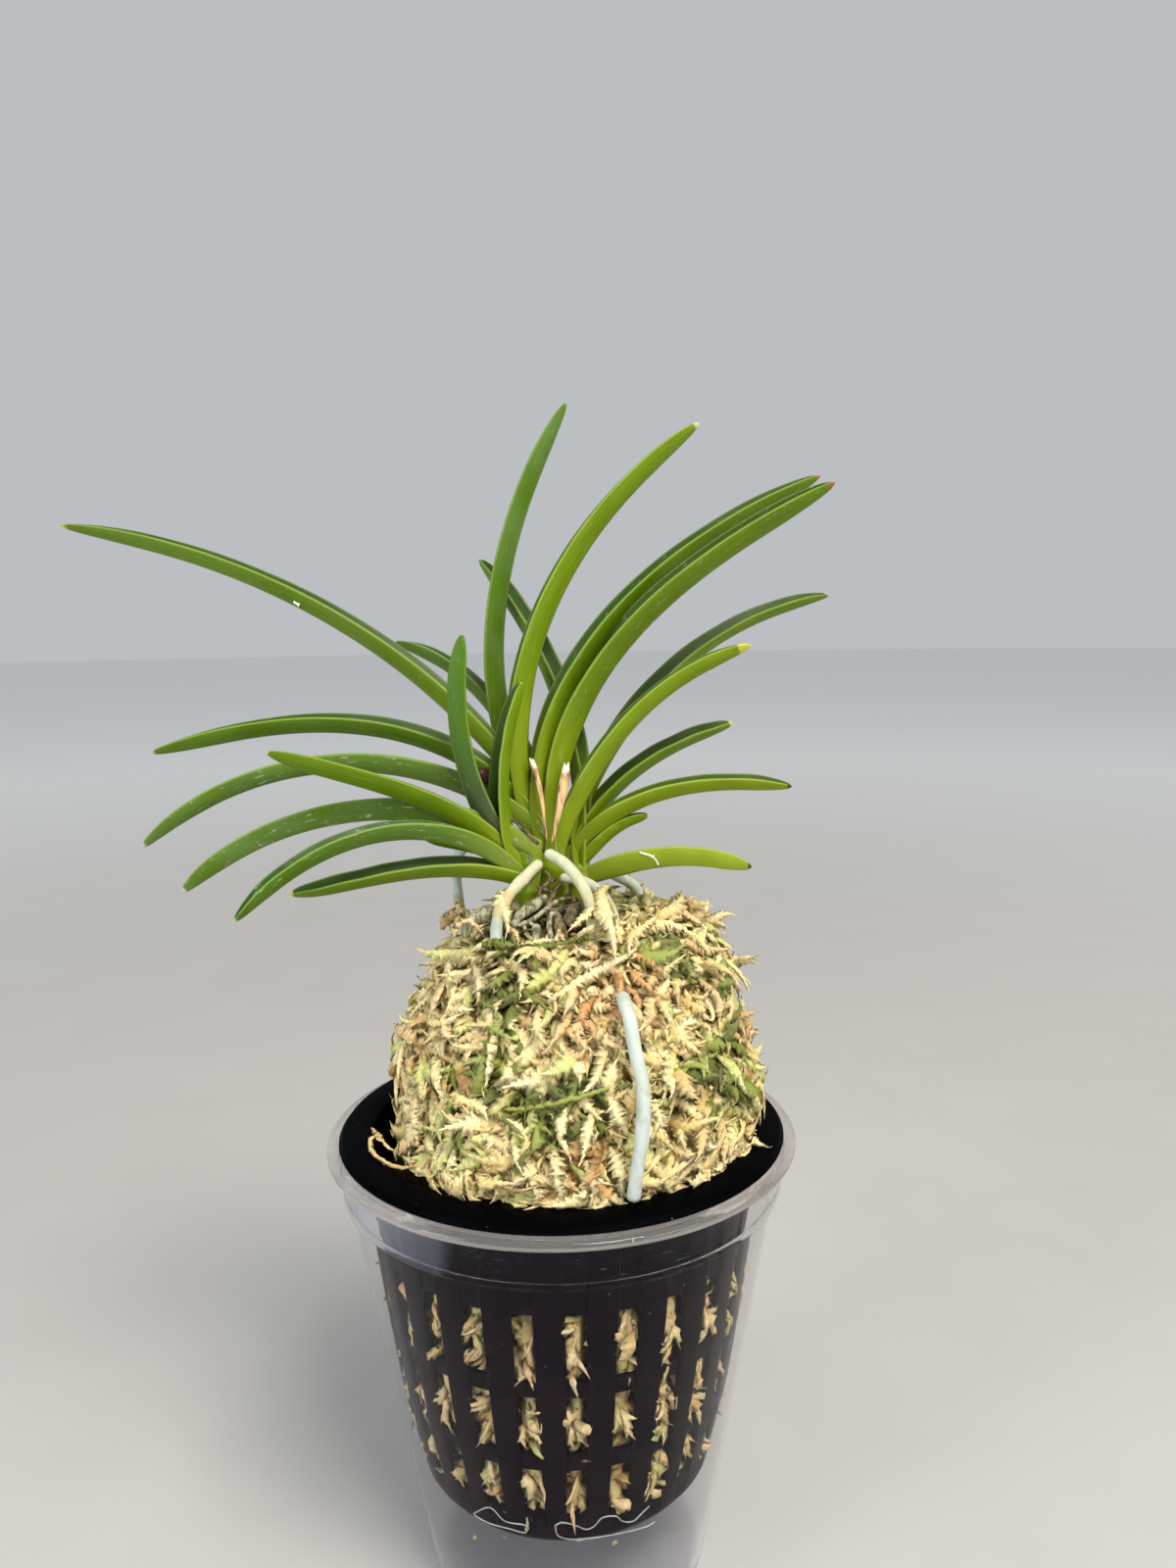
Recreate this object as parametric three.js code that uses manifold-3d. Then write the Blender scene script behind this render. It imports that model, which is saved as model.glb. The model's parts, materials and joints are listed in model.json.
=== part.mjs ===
// Wind orchid (Vanda falcata) growing in a mound of sphagnum, in a slotted net pot that hangs in a clear cup.
// Millimetres, +Z up. The origin is the centre of the cup's flat underside; +X is the right of the front view
// and -Y is the front.
import * as THREE from 'three';
import { mergeVertices } from 'three/addons/utils/BufferGeometryUtils.js';
import Module from 'manifold-3d';

const wasm = await Module();
wasm.setup();

// ---------------------------------------------------------------- driving dimensions

const GAP = 0.3;                 // clearance between pieces that touch
const ROUND_SIDES = 48;          // facets round the cup and the pot

const LIP_RADIUS = 37.9;         // clear cup
const LIP_TOP = 74.7;
const LIP_DEPTH = 2.3;
const CUP_WALL = 0.9;
const CUP_LEDGE_Z = 67.2;
const CUP_LEDGE_RADIUS = 34.6;
const CUP_BASE_RADIUS = 22.8;
const CUP_CORNER = 4.5;
const CUP_FLOOR = 1.2;

const FLANGE_RADIUS = 36;        // net pot
const FLANGE_TOP = 76;
const FLANGE_THICK = FLANGE_TOP - LIP_TOP - GAP;
const POT_MOUTH_RADIUS = 31.3;
const POT_WALL = 1.1;
const POT_BASE_Z = 18;
const POT_BASE_RADIUS = 21.6;
const SLOTS_ROUND = 24;
const SLOT_WIDTH = 3;
const SLOT_TURN = THREE.MathUtils.degToRad(-90 + 4.5);   // angle of the slot nearest the front
const BASE_SLOT = { inner: 8, outer: 17 };
const SLOT_ROWS = [
  { top: 60, bottom: 48.5, radius: 29.8 },
  { top: 46, bottom: 35.4, radius: 28 },
  { top: 32.9, bottom: 24.1, radius: 26 },
];

const MOSS_SIDES = 40;           // sphagnum mound
const MOSS_RELIEF = 0.6;
const TUFT_COUNT = 66;
const TUFT_LENGTH = 5.5;
const TUFT_THICK = 1.5;
const GOLDEN_ANGLE = 2.399963;
// Height, radius and sideways shift of the mound above the pot's flange.
const MOUND_RINGS = [
  { z: 76.4, radius: 29.6, shift: 0.3 },
  { z: 79, radius: 29.9, shift: 1.2 },
  { z: 82.5, radius: 30, shift: 2 },
  { z: 86.5, radius: 29.4, shift: 2.1 },
  { z: 90.5, radius: 28.4, shift: 2 },
  { z: 94.5, radius: 27.2, shift: 2.2 },
  { z: 98.5, radius: 25.7, shift: 2.6 },
  { z: 102.5, radius: 23.8, shift: 3 },
  { z: 106, radius: 21.4, shift: 3.6 },
  { z: 109, radius: 18.4, shift: 4.2 },
  { z: 111.4, radius: 14.6, shift: 3.8 },
  { z: 112, radius: 11.5, shift: 2 },
  { z: 110.8, radius: 8, shift: 0.4 },
  { z: 109.6, radius: 4, shift: -0.4 },
];
const HOLLOW_CENTRE_Y = -3;
const SHOULDER = { angle: 0, width: 0.55, z: 109.5, height: 4, swell: 2.6 };

const BLADE_STATIONS = 10;       // leaves
const BLADE_THICK = 1;
const MARGIN_THICK = 0.65;
const FOLD_AT_FOOT = 16;         // degrees between each half of the blade and its middle plane
const FOLD_AT_MIDDLE = 36;
const TIP_SHARE = 0.2;           // share of the length over which the blade narrows to its tip
const STEM_SIDES = 10;

// Each growth: the crown where its fan of leaves starts, the stem's half width across the fan, and its leaves.
// foot: [across, up] from the crown. azimuth: from +X towards +Y. slope: degrees above level at the foot, the
// middle and the tip. sweep: change of azimuth along the blade. turn: roll about its own line.
const GROWTHS = {
  growth_centre: {
    crown: [-1, -1, 121],
    stemHalf: [2.9, 2],
    stemFoot: 108.5,
    leaves: [
      { foot: [0, 4.5], azimuth: 171, sweep: -2, length: 98, slope: [60, 29, 9], width: 3.1, turn: -3 },
      { foot: [-0.5, 2], azimuth: 179, sweep: 1, length: 69.5, slope: [65, 8, -15], width: 3.1, turn: -6 },
      { foot: [1, 1], azimuth: 184, sweep: 0, length: 71.5, slope: [47, 1, -44], width: 3, turn: 8 },
      { foot: [-3.5, 5.5], azimuth: 14, sweep: 6, length: 73, slope: [106, 62, 34], width: 3.5, turn: -8 },
      { foot: [-2, 4.5], azimuth: 5, sweep: 0, length: 74.5, slope: [94, 46, 24], width: 3.8, turn: 10 },
      { foot: [0.5, 3.5], azimuth: -8, sweep: 0, length: 72, slope: [95, 46, 27], width: 4.1, turn: 16 },
      { foot: [1, 1], azimuth: -2, sweep: -1, length: 45.5, slope: [72, 47, 15], width: 2.9, turn: 4 },
    ],
  },
  growth_left: {
    crown: [-5, -5, 118],
    stemHalf: [2, 1.7],
    stemFoot: 108,
    leaves: [
      { foot: [-1, 2], azimuth: 200, sweep: 0, length: 42.5, slope: [54, 23, 20], width: 2.9, turn: 4 },
      { foot: [2, 4.5], azimuth: 187, sweep: -1, length: 58, slope: [32, -5, -44], width: 3.3, turn: 14 },
      { foot: [-0.5, 0], azimuth: 207, sweep: -1, length: 49.5, slope: [51, -4, -47], width: 2.8, turn: 0 },
      { foot: [-0.5, 0.5], azimuth: 190, sweep: 0, length: 17, slope: [59, 16, 21], width: 1.9, turn: 0 },
      { foot: [0, -0.5], azimuth: 196, sweep: 0, length: 36, slope: [26, -4, -6], width: 2.8, turn: -14 },
      { foot: [-1.5, 3], azimuth: 196, sweep: 0, length: 36.5, slope: [53, 78, 104], width: 3, turn: 0 },
      { foot: [-1.5, 1.5], azimuth: 30, sweep: 0, length: 29.5, slope: [111, 86, 63], width: 2.8, turn: 0 },
      { foot: [-0.5, -2], azimuth: 200, sweep: 0, length: 8, slope: [127, 77, 93], width: 1.4, turn: 0 },
    ],
  },
  growth_right: {
    crown: [3.5, 3, 118.5],
    stemHalf: [2.2, 1.8],
    stemFoot: 108,
    leaves: [
      { foot: [0.5, 6], azimuth: 146, sweep: 0, length: 49, slope: [92, 64, 43], width: 3.2, turn: 0 },
      { foot: [-1, 5], azimuth: 22, sweep: 2, length: 65, slope: [72, 37, 7], width: 2.8, turn: 14 },
      { foot: [-1, 2.5], azimuth: 8, sweep: 0, length: 34, slope: [66, 35, 12], width: 2.7, turn: 16 },
      { foot: [-1.5, 1.5], azimuth: -12, sweep: 1, length: 39, slope: [56, 15, -7], width: 2.7, turn: 8 },
      { foot: [0, 0], azimuth: -6, sweep: 0, length: 14, slope: [51, 38, 5], width: 1.8, turn: 0 },
      { foot: [0.5, -2.5], azimuth: -24, sweep: 0, length: 29, slope: [25, 9, -15], width: 3.2, turn: -16 },
    ],
  },
  growth_back: {
    crown: [-1.5, 7, 121],
    stemHalf: [2, 1.7],
    stemFoot: 108.5,
    leaves: [
      { foot: [0, 2], azimuth: 158, sweep: 0, length: 44.5, slope: [78, 50, 9], width: 2.7, turn: 0 },
      { foot: [0, 2.5], azimuth: 4, sweep: 0, length: 72, slope: [126, 84, 59], width: 3.4, turn: 0 },
    ],
  },
};

// Aerial roots: the line each follows from the stem into or over the moss, and its radius.
const ROOT_SIDES = 7;
const ROOTS = {
  root_front_left: {
    radius: 1.35,
    line: [[-2.5, -5.4, 120.4], [-5, -8, 118.4], [-7.5, -11, 116], [-8.8, -13, 113], [-9, -14.4, 109]],
  },
  root_front_middle: {
    radius: 1.45,
    line: [[-1.6, -4.9, 121.8], [1.4, -7.6, 120.4], [4, -10.6, 117.6], [5.2, -12.4, 114.4],
      [5.6, -13.6, 108.5]],
  },
  root_front_right: {
    radius: 1.25,
    line: [[0.4, -3.4, 117.4], [3.8, -4.6, 117.2], [6.4, -6.2, 116], [8.6, -7.8, 112.8], [9.2, -8.6, 108.5]],
  },
  root_back_right: {
    radius: 1.3,
    line: [[5.6, 3, 117], [9, 5, 116], [12.5, 7, 113.4], [15, 8.2, 109]],
  },
  root_back_left: {
    radius: 1.4,
    line: [[-2.6, 6.2, 117], [-6.5, 5, 119.2], [-10.5, 5, 121.2], [-15.2, 6, 120.8], [-17, 6.6, 117.4],
      [-16.8, 6.6, 112], [-16.2, 6.2, 106]],
  },
  root_hollow: {
    radius: 1.2,
    line: [[-2.2, -4.6, 114.2], [-4.6, -7.2, 113], [-7, -9.4, 110.4]],
  },
  root_mound_front: {
    radius: 1.35,
    line: [[9.4, -22, 104.5], [10.3, -26.6, 102.6], [11, -28.6, 98.6], [12, -30.4, 93.4], [11.8, -31, 87],
      [11, -30.8, 81.6], [10.6, -30.3, 77.8]],
  },
};

// Dry leaf sheaths and the spent flower stalk: line from the foot up, half width, thickness.
const SHEATHS = {
  dry_sheath_left: {
    half: 1.5,
    thick: 0.7,
    line: [[-1.6, -3.9, 123.4], [-1.9, -4.2, 126.6], [-2.3, -4, 130.6], [-3.1, -3.6, 134], [-3.8, -3.2, 136.2]],
  },
  dry_sheath_right: {
    half: 1.9,
    thick: 0.7,
    line: [[-0.7, -4.2, 123.2], [0.1, -4.5, 126.6], [0.9, -4.4, 130.2], [1.4, -4, 133], [1.7, -3.6, 135.4]],
  },
};
const STALK = {
  radius: 1.1,
  line: [[-5.4, -2.2, 127.2], [-8.4, -2.4, 130.4], [-10.4, -2.6, 132.4], [-12, -3, 134.4]],
};

const COLOURS = {
  clear: 0xdfe6ea,
  pot: 0x16151a,
  moss: 0xc9b682,
  leaf: 0x6f9c2e,
  root: 0xd3d8cc,
  sheath: 0xcf9a63,
  stalk: 0x3a1512,
};

// ---------------------------------------------------------------- helpers

const { degToRad } = THREE.MathUtils;

// A small repeatable random source.
function seeded(seed) {
  let state = seed;
  return () => {
    state = (state * 1664525 + 1013904223) % 4294967296;
    return state / 4294967296;
  };
}

// Solid for joining and cutting, from a closed three.js geometry.
function toSolid(geometry) {
  const bare = geometry.clone();
  bare.deleteAttribute('normal');
  bare.deleteAttribute('uv');
  const merged = mergeVertices(bare, 1e-4);
  return new wasm.Manifold(new wasm.Mesh({
    numProp: 3,
    vertProperties: new Float32Array(merged.attributes.position.array),
    triVerts: new Uint32Array(merged.index.array),
  }));
}

// The largest body of a solid; loose scraps that a cut leaves are dropped.
function mainBody(solid) {
  return solid.decompose().reduce((best, body) => (body.volume() > best.volume() ? body : best));
}

function toGeometry(solid) {
  const { vertProperties, triVerts } = mainBody(solid).getMesh();
  const geometry = new THREE.BufferGeometry();
  geometry.setAttribute('position', new THREE.BufferAttribute(vertProperties, 3));
  geometry.setIndex(new THREE.BufferAttribute(triVerts, 1));
  geometry.computeVertexNormals();
  return geometry;
}

// Closed skin over a row of sections that all have the same number of points.
function skin(sections) {
  const count = sections[0].length;
  const positions = sections.flat().flatMap((point) => point.toArray());
  const faces = [];
  for (let row = 0; row < sections.length - 1; row += 1) {
    for (let i = 0; i < count; i += 1) {
      const a = row * count + i;
      const b = row * count + ((i + 1) % count);
      faces.push(a, b, b + count, a, b + count, a + count);
    }
  }
  const last = (sections.length - 1) * count;
  for (let i = 1; i < count - 1; i += 1) {
    faces.push(0, i + 1, i, last, last + i, last + i + 1);
  }
  const geometry = new THREE.BufferGeometry();
  geometry.setAttribute('position', new THREE.Float32BufferAttribute(positions, 3));
  geometry.setIndex(faces);
  return geometry;
}

// Body turned about the upright axis from [radius, z] points that start and end on it.
function turned(points) {
  const profile = points.map(([radius, z]) => new THREE.Vector2(radius, z));
  return new THREE.LatheGeometry(profile, ROUND_SIDES).rotateX(Math.PI / 2);
}

function curveThrough(points) {
  return new THREE.CatmullRomCurve3(points.map((point) => new THREE.Vector3(...point)));
}

// Round rod along a line, with flat ends.
function rod(line, radius, sides) {
  const path = curveThrough(line);
  const section = new THREE.Shape();
  for (let i = 0; i < sides; i += 1) {
    const angle = (i / sides) * 2 * Math.PI;
    const x = radius * Math.cos(angle);
    const y = radius * Math.sin(angle);
    if (i === 0) section.moveTo(x, y);
    else section.lineTo(x, y);
  }
  const steps = Math.max(4, Math.round(path.getLength() / 2.6));
  return toSolid(new THREE.ExtrudeGeometry(section, { steps, extrudePath: path }));
}

// ---------------------------------------------------------------- clear cup

function cup() {
  const wallTop = LIP_TOP - LIP_DEPTH;
  const ledgeStep = 1;
  const neckRadius = CUP_LEDGE_RADIUS + ledgeStep;
  const cornerTop = CUP_BASE_RADIUS + 0.8;
  return turned([
    [0, 0],
    [CUP_BASE_RADIUS - CUP_CORNER, 0],
    [CUP_BASE_RADIUS - CUP_CORNER * 0.35, CUP_CORNER * 0.28],
    [cornerTop, CUP_CORNER],
    [CUP_LEDGE_RADIUS, CUP_LEDGE_Z - 0.6],
    [neckRadius, CUP_LEDGE_Z + 0.4],
    [neckRadius + 0.4, wallTop],
    [LIP_RADIUS - 0.3, wallTop],
    [LIP_RADIUS, wallTop + 0.5],
    [LIP_RADIUS, LIP_TOP - 0.6],
    [LIP_RADIUS - 0.5, LIP_TOP],
    [neckRadius - CUP_WALL + 0.5, LIP_TOP],
    [neckRadius - CUP_WALL, CUP_LEDGE_Z + 0.9],
    [CUP_LEDGE_RADIUS - CUP_WALL, CUP_LEDGE_Z - 0.4],
    [cornerTop - CUP_WALL, CUP_CORNER + 0.3],
    [CUP_BASE_RADIUS - CUP_CORNER * 0.55, CUP_FLOOR + 0.9],
    [CUP_BASE_RADIUS - CUP_CORNER, CUP_FLOOR],
    [0, CUP_FLOOR],
  ]);
}

// ---------------------------------------------------------------- net pot

// Outer radius of the pot's wall at a height.
function potRadius(z) {
  const knots = [
    [POT_BASE_Z + 2, POT_BASE_RADIUS + 1.6],
    ...SLOT_ROWS.map((row) => [row.top, row.radius]).reverse(),
    [FLANGE_TOP, POT_MOUTH_RADIUS],
  ];
  const next = Math.min(knots.length - 1, Math.max(1, knots.findIndex(([height]) => height >= z)));
  const [z0, r0] = knots[next - 1];
  const [z1, r1] = knots[next];
  return r0 + ((r1 - r0) * (z - z0)) / (z1 - z0);
}

function potShell() {
  const flangeUnder = FLANGE_TOP - FLANGE_THICK;
  const wallHeights = [POT_BASE_Z + 2, ...SLOT_ROWS.map((row) => row.top).reverse(), flangeUnder];
  return turned([
    [0, POT_BASE_Z],
    [POT_BASE_RADIUS, POT_BASE_Z],
    ...wallHeights.map((z) => [potRadius(z), z]),
    [FLANGE_RADIUS, flangeUnder],
    [FLANGE_RADIUS, FLANGE_TOP],
    [potRadius(FLANGE_TOP) - POT_WALL, FLANGE_TOP],
    ...wallHeights.map((z) => [potRadius(z) - POT_WALL, z]).reverse().slice(1, -1),
    [potRadius(POT_BASE_Z + 2) - POT_WALL - 0.3, POT_BASE_Z + POT_WALL + 1.2],
    [POT_BASE_RADIUS - 0.6, POT_BASE_Z + POT_WALL],
    [0, POT_BASE_Z + POT_WALL],
  ]);
}

// One bar that cuts a slot: from the inside to the outside of the wall, at an angle round the pot.
function slotBar(angle, bottom, top, inner, outer) {
  const bar = new THREE.BoxGeometry(outer - inner, SLOT_WIDTH, top - bottom);
  bar.translate((inner + outer) / 2, 0, (top + bottom) / 2);
  return toSolid(bar.rotateZ(angle));
}

function netPot() {
  const bars = [];
  for (let i = 0; i < SLOTS_ROUND; i += 1) {
    const angle = SLOT_TURN + (i / SLOTS_ROUND) * 2 * Math.PI;
    for (const row of SLOT_ROWS) {
      bars.push(slotBar(angle, row.bottom, row.top, row.radius - 5, row.radius + 5));
    }
    if (i % 2 === 0) {
      bars.push(slotBar(angle, POT_BASE_Z - 1, POT_BASE_Z + POT_WALL + 0.5, BASE_SLOT.inner, BASE_SLOT.outer));
    }
  }
  const facet = (2 * Math.PI) / ROUND_SIDES;
  const shell = potShell().rotateZ(SLOT_TURN + Math.PI / 2 - facet / 2);
  return toSolid(shell).subtract(wasm.Manifold.union(bars));
}

// ---------------------------------------------------------------- sphagnum mound

// Gentle lumps of packed moss, by angle round the mound and height.
function lumps(angle, z) {
  const broad = Math.sin(3 * angle + 1) * Math.cos(0.31 * z);
  const middle = 0.8 * Math.sin(7 * angle + 2) * Math.sin(0.55 * z);
  const fine = 0.6 * Math.cos(13 * angle) * Math.cos(0.8 * z + 1);
  return MOSS_RELIEF * (broad + middle + fine);
}

// The shoulder of moss that stands higher on the right of the stems.
function shoulder(angle, z) {
  const across = Math.exp(-(((angle - SHOULDER.angle) / SHOULDER.width) ** 2));
  const along = Math.exp(-(((z - SHOULDER.z) / SHOULDER.height) ** 2));
  return SHOULDER.swell * across * along;
}

function moundRadius(ring, angle) {
  const wrapped = Math.atan2(Math.sin(angle), Math.cos(angle));
  const ease = Math.min(1, ring.radius / 12);
  return ring.radius + ease * (lumps(angle, ring.z) + shoulder(wrapped, ring.z));
}

function moundSection(ring) {
  const points = [];
  const hollow = Math.max(0, 1 - ring.radius / 16);
  for (let i = 0; i < MOSS_SIDES; i += 1) {
    const angle = (i / MOSS_SIDES) * 2 * Math.PI;
    const radius = moundRadius(ring, angle);
    points.push(new THREE.Vector3(
      ring.shift + radius * Math.cos(angle),
      HOLLOW_CENTRE_Y * hollow + radius * Math.sin(angle),
      ring.z,
    ));
  }
  return points;
}

function fillSection(z, radius) {
  const points = [];
  for (let i = 0; i < MOSS_SIDES; i += 1) {
    const angle = (i / MOSS_SIDES) * 2 * Math.PI;
    points.push(new THREE.Vector3(radius * Math.cos(angle), radius * Math.sin(angle), z));
  }
  return points;
}

function mossCore() {
  const floor = POT_BASE_Z + POT_WALL + GAP;
  const fillHeights = [floor + 2.4, ...SLOT_ROWS.map((row) => row.top).reverse(), FLANGE_TOP];
  const inside = fillHeights.map((z) => fillSection(z, potRadius(z) - POT_WALL - GAP - 0.1));
  return toSolid(skin([
    fillSection(floor, POT_BASE_RADIUS - 1.6),
    ...inside,
    ...MOUND_RINGS.map(moundSection),
  ]));
}

// A three-sided strand that leans out of the mound and narrows to its tip.
function tuft(foot, out, lean, length) {
  const side = new THREE.Vector3().crossVectors(out, lean).normalize();
  const sections = [0, 0.5, 1].map((share) => {
    const centre = foot.clone()
      .addScaledVector(out, length * (1.05 * share - 0.45 * share * share))
      .addScaledVector(lean, length * 0.75 * share * share);
    const ahead = out.clone().multiplyScalar(1.05 - 0.9 * share).addScaledVector(lean, 1.5 * share).normalize();
    const across = new THREE.Vector3().crossVectors(ahead, side);
    const half = (TUFT_THICK / 2) * (1.15 - 0.85 * share);
    return [0, 1, 2].map((corner) => {
      const angle = (corner / 3) * 2 * Math.PI;
      return centre.clone()
        .addScaledVector(side, half * Math.cos(angle))
        .addScaledVector(across, half * Math.sin(angle));
    });
  });
  return toSolid(skin(sections));
}

function mossTufts() {
  const random = seeded(7);
  const tufts = [];
  for (let i = 0; i < TUFT_COUNT; i += 1) {
    const ring = MOUND_RINGS[1 + Math.floor(random() * 9)];
    const angle = (i * GOLDEN_ANGLE) % (2 * Math.PI);
    const radius = moundRadius(ring, angle) - TUFT_THICK;
    const out = new THREE.Vector3(Math.cos(angle), Math.sin(angle), 0.35).normalize();
    const across = new THREE.Vector3(-Math.sin(angle), Math.cos(angle), 0);
    const lean = across.multiplyScalar(random() * 2 - 1).add(new THREE.Vector3(0, 0, random() * 1.2 - 0.3));
    const foot = new THREE.Vector3(
      ring.shift + radius * Math.cos(angle),
      radius * Math.sin(angle),
      ring.z + (random() - 0.5) * 3,
    );
    if (foot.z > FLANGE_TOP + 3) {
      tufts.push(tuft(foot, out, lean.normalize(), TUFT_LENGTH * (0.7 + 0.6 * random())));
    }
  }
  return wasm.Manifold.union(tufts);
}

// ---------------------------------------------------------------- leaves

// Height above level, in radians, at a share of the blade's length.
function slopeAt([foot, middle, tip], share) {
  const rest = 1 - share;
  return degToRad(foot * rest * (1 - 2 * share) + 4 * middle * share * rest + tip * share * (2 * share - 1));
}

// Half blade width at a share of the length: narrow at the sheath, full in the middle, drawn in to the tip.
function widthAt(leaf, share) {
  const opening = 0.7 + 0.3 * THREE.MathUtils.smoothstep(share, 0, 0.3);
  const tip = Math.min(1, ((1 - share) / TIP_SHARE)) ** 0.75;
  return leaf.width * opening * Math.max(tip, 0.12);
}

// One blade folded along its middle like a keel, as a skin of six-cornered sections.
// spare widens it all round, for cutting clearance in a neighbour.
function blade(crown, leaf, spare) {
  const sections = [];
  const point = new THREE.Vector3(crown[0] + leaf.foot[0], crown[1], crown[2] + leaf.foot[1]);
  const steps = BLADE_STATIONS * 4;
  for (let step = 0; step <= steps; step += 1) {
    const share = step / steps;
    const slope = slopeAt(leaf.slope, share);
    const heading = degToRad(leaf.azimuth + leaf.sweep * share);
    const ahead = new THREE.Vector3(
      Math.cos(slope) * Math.cos(heading),
      Math.cos(slope) * Math.sin(heading),
      Math.sin(slope),
    );
    if (step % 4 === 0) sections.push(bladeSection(point, ahead, heading, slope, leaf, share, spare));
    point.addScaledVector(ahead, leaf.length / steps);
  }
  return toSolid(skin(sections));
}

function bladeSection(centre, ahead, heading, slope, leaf, share, spare) {
  const roll = degToRad(leaf.turn);
  const level = new THREE.Vector3(-Math.sin(heading), Math.cos(heading), 0);
  const upper = new THREE.Vector3(
    -Math.sin(slope) * Math.cos(heading),
    -Math.sin(slope) * Math.sin(heading),
    Math.cos(slope),
  );
  const side = level.clone().applyAxisAngle(ahead, roll);
  const open = upper.clone().applyAxisAngle(ahead, roll);
  const fold = degToRad(THREE.MathUtils.lerp(FOLD_AT_FOOT, FOLD_AT_MIDDLE, Math.min(1, share / 0.35)));
  const width = widthAt(leaf, share) + spare;
  const reach = width * Math.sin(fold);
  const rise = width * Math.cos(fold);
  const thick = (BLADE_THICK - 0.3 * share) / 2 + spare;
  const rim = MARGIN_THICK / 2 + spare;
  const corner = (across, up) => centre.clone()
    .addScaledVector(side, across)
    .addScaledVector(open, up - rise / 2);
  return [
    corner(0, -thick),
    corner(reach + rim, rise - 0.1),
    corner(reach - rim, rise + 0.1),
    corner(0, thick),
    corner(-reach + rim, rise + 0.1),
    corner(-reach - rim, rise - 0.1),
  ];
}

// The short stem, wrapped by the leaf feet, from inside the moss to just above the crown.
function stem(growth, spare) {
  const [x, y, z] = growth.crown;
  const [halfX, halfY] = growth.stemHalf;
  const stations = [[growth.stemFoot - spare, 0.75], [z - 4, 1], [z + 1, 1], [z + 4.5, 0.7]];
  const sections = stations.map(([height, fullness]) => {
    const points = [];
    for (let i = 0; i < STEM_SIDES; i += 1) {
      const angle = (i / STEM_SIDES) * 2 * Math.PI;
      points.push(new THREE.Vector3(
        x + (halfX * fullness + spare) * Math.cos(angle),
        y + (halfY * fullness + spare) * Math.sin(angle),
        height,
      ));
    }
    return points;
  });
  return toSolid(skin(sections));
}

function growthSolid(growth, spare = 0) {
  const blades = growth.leaves.map((leaf) => blade(growth.crown, leaf, spare));
  return wasm.Manifold.union([stem(growth, spare), ...blades]);
}

// ---------------------------------------------------------------- dry sheaths

// Thin papery strip along a line, drawn to a ragged point at the top.
function strip(line, half, thick) {
  const path = curveThrough(line);
  const sections = [];
  const stations = 7;
  for (let i = 0; i < stations; i += 1) {
    const share = i / (stations - 1);
    const centre = path.getPointAt(share);
    const reach = half * (1 - 0.45 * share) * (share > 0.95 ? 0.6 : 1);
    const curl = 0.5 * reach;
    const corner = (x, y) => new THREE.Vector3(centre.x + x, centre.y + y, centre.z);
    sections.push([
      corner(-reach, curl),
      corner(0, 0),
      corner(reach, curl),
      corner(reach, curl + thick),
      corner(0, thick),
      corner(-reach, curl + thick),
    ]);
  }
  return toSolid(skin(sections));
}

// ---------------------------------------------------------------- assembly

function material(color, roughness, extra = {}) {
  return new THREE.MeshStandardMaterial({ color, roughness, metalness: 0, ...extra });
}

const materials = {
  clear: material(COLOURS.clear, 0.1, { transparent: true, opacity: 0.3 }),
  pot: material(COLOURS.pot, 0.4),
  moss: material(COLOURS.moss, 1),
  leaf: material(COLOURS.leaf, 0.45),
  root: material(COLOURS.root, 0.8),
  sheath: material(COLOURS.sheath, 0.9),
  stalk: material(COLOURS.stalk, 0.6),
};

const orchid = new THREE.Group();

function place(name, solidOrGeometry, finish) {
  const geometry = solidOrGeometry.isBufferGeometry ? solidOrGeometry : toGeometry(solidOrGeometry);
  const mesh = new THREE.Mesh(geometry, finish);
  mesh.name = name;
  orchid.add(mesh);
}

place('clear_cup', cup(), materials.clear);
place('net_pot', netPot(), materials.pot);

// Room that the pieces placed so far need, with their clearance: later pieces are cut clear of it.
let taken = wasm.Manifold.union(Object.values(GROWTHS).map((growth) => growthSolid(growth, GAP)));
function keepClear(solid) {
  return solid.subtract(taken);
}
function claim(fatSolid) {
  taken = taken.add(fatSolid);
}

for (const [name, growth] of Object.entries(GROWTHS)) {
  place(name, growthSolid(growth), materials.leaf);
}
for (const [name, root] of Object.entries(ROOTS)) {
  place(name, keepClear(rod(root.line, root.radius, ROOT_SIDES)), materials.root);
  claim(rod(root.line, root.radius + GAP, ROOT_SIDES));
}
for (const [name, sheath] of Object.entries(SHEATHS)) {
  place(name, keepClear(strip(sheath.line, sheath.half, sheath.thick)), materials.sheath);
  claim(strip(sheath.line, sheath.half + GAP, sheath.thick + GAP));
}
place('flower_stalk_stub', keepClear(rod(STALK.line, STALK.radius, 6)), materials.stalk);
place('moss_mound', keepClear(mossCore().add(mossTufts())), materials.moss);

export default orchid;
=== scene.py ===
"""A small wind orchid in sphagnum moss, in a black net pot that hangs in a clear plastic cup."""
import json
import math

import bpy
import numpy as np
from mathutils import Matrix, Vector

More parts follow.
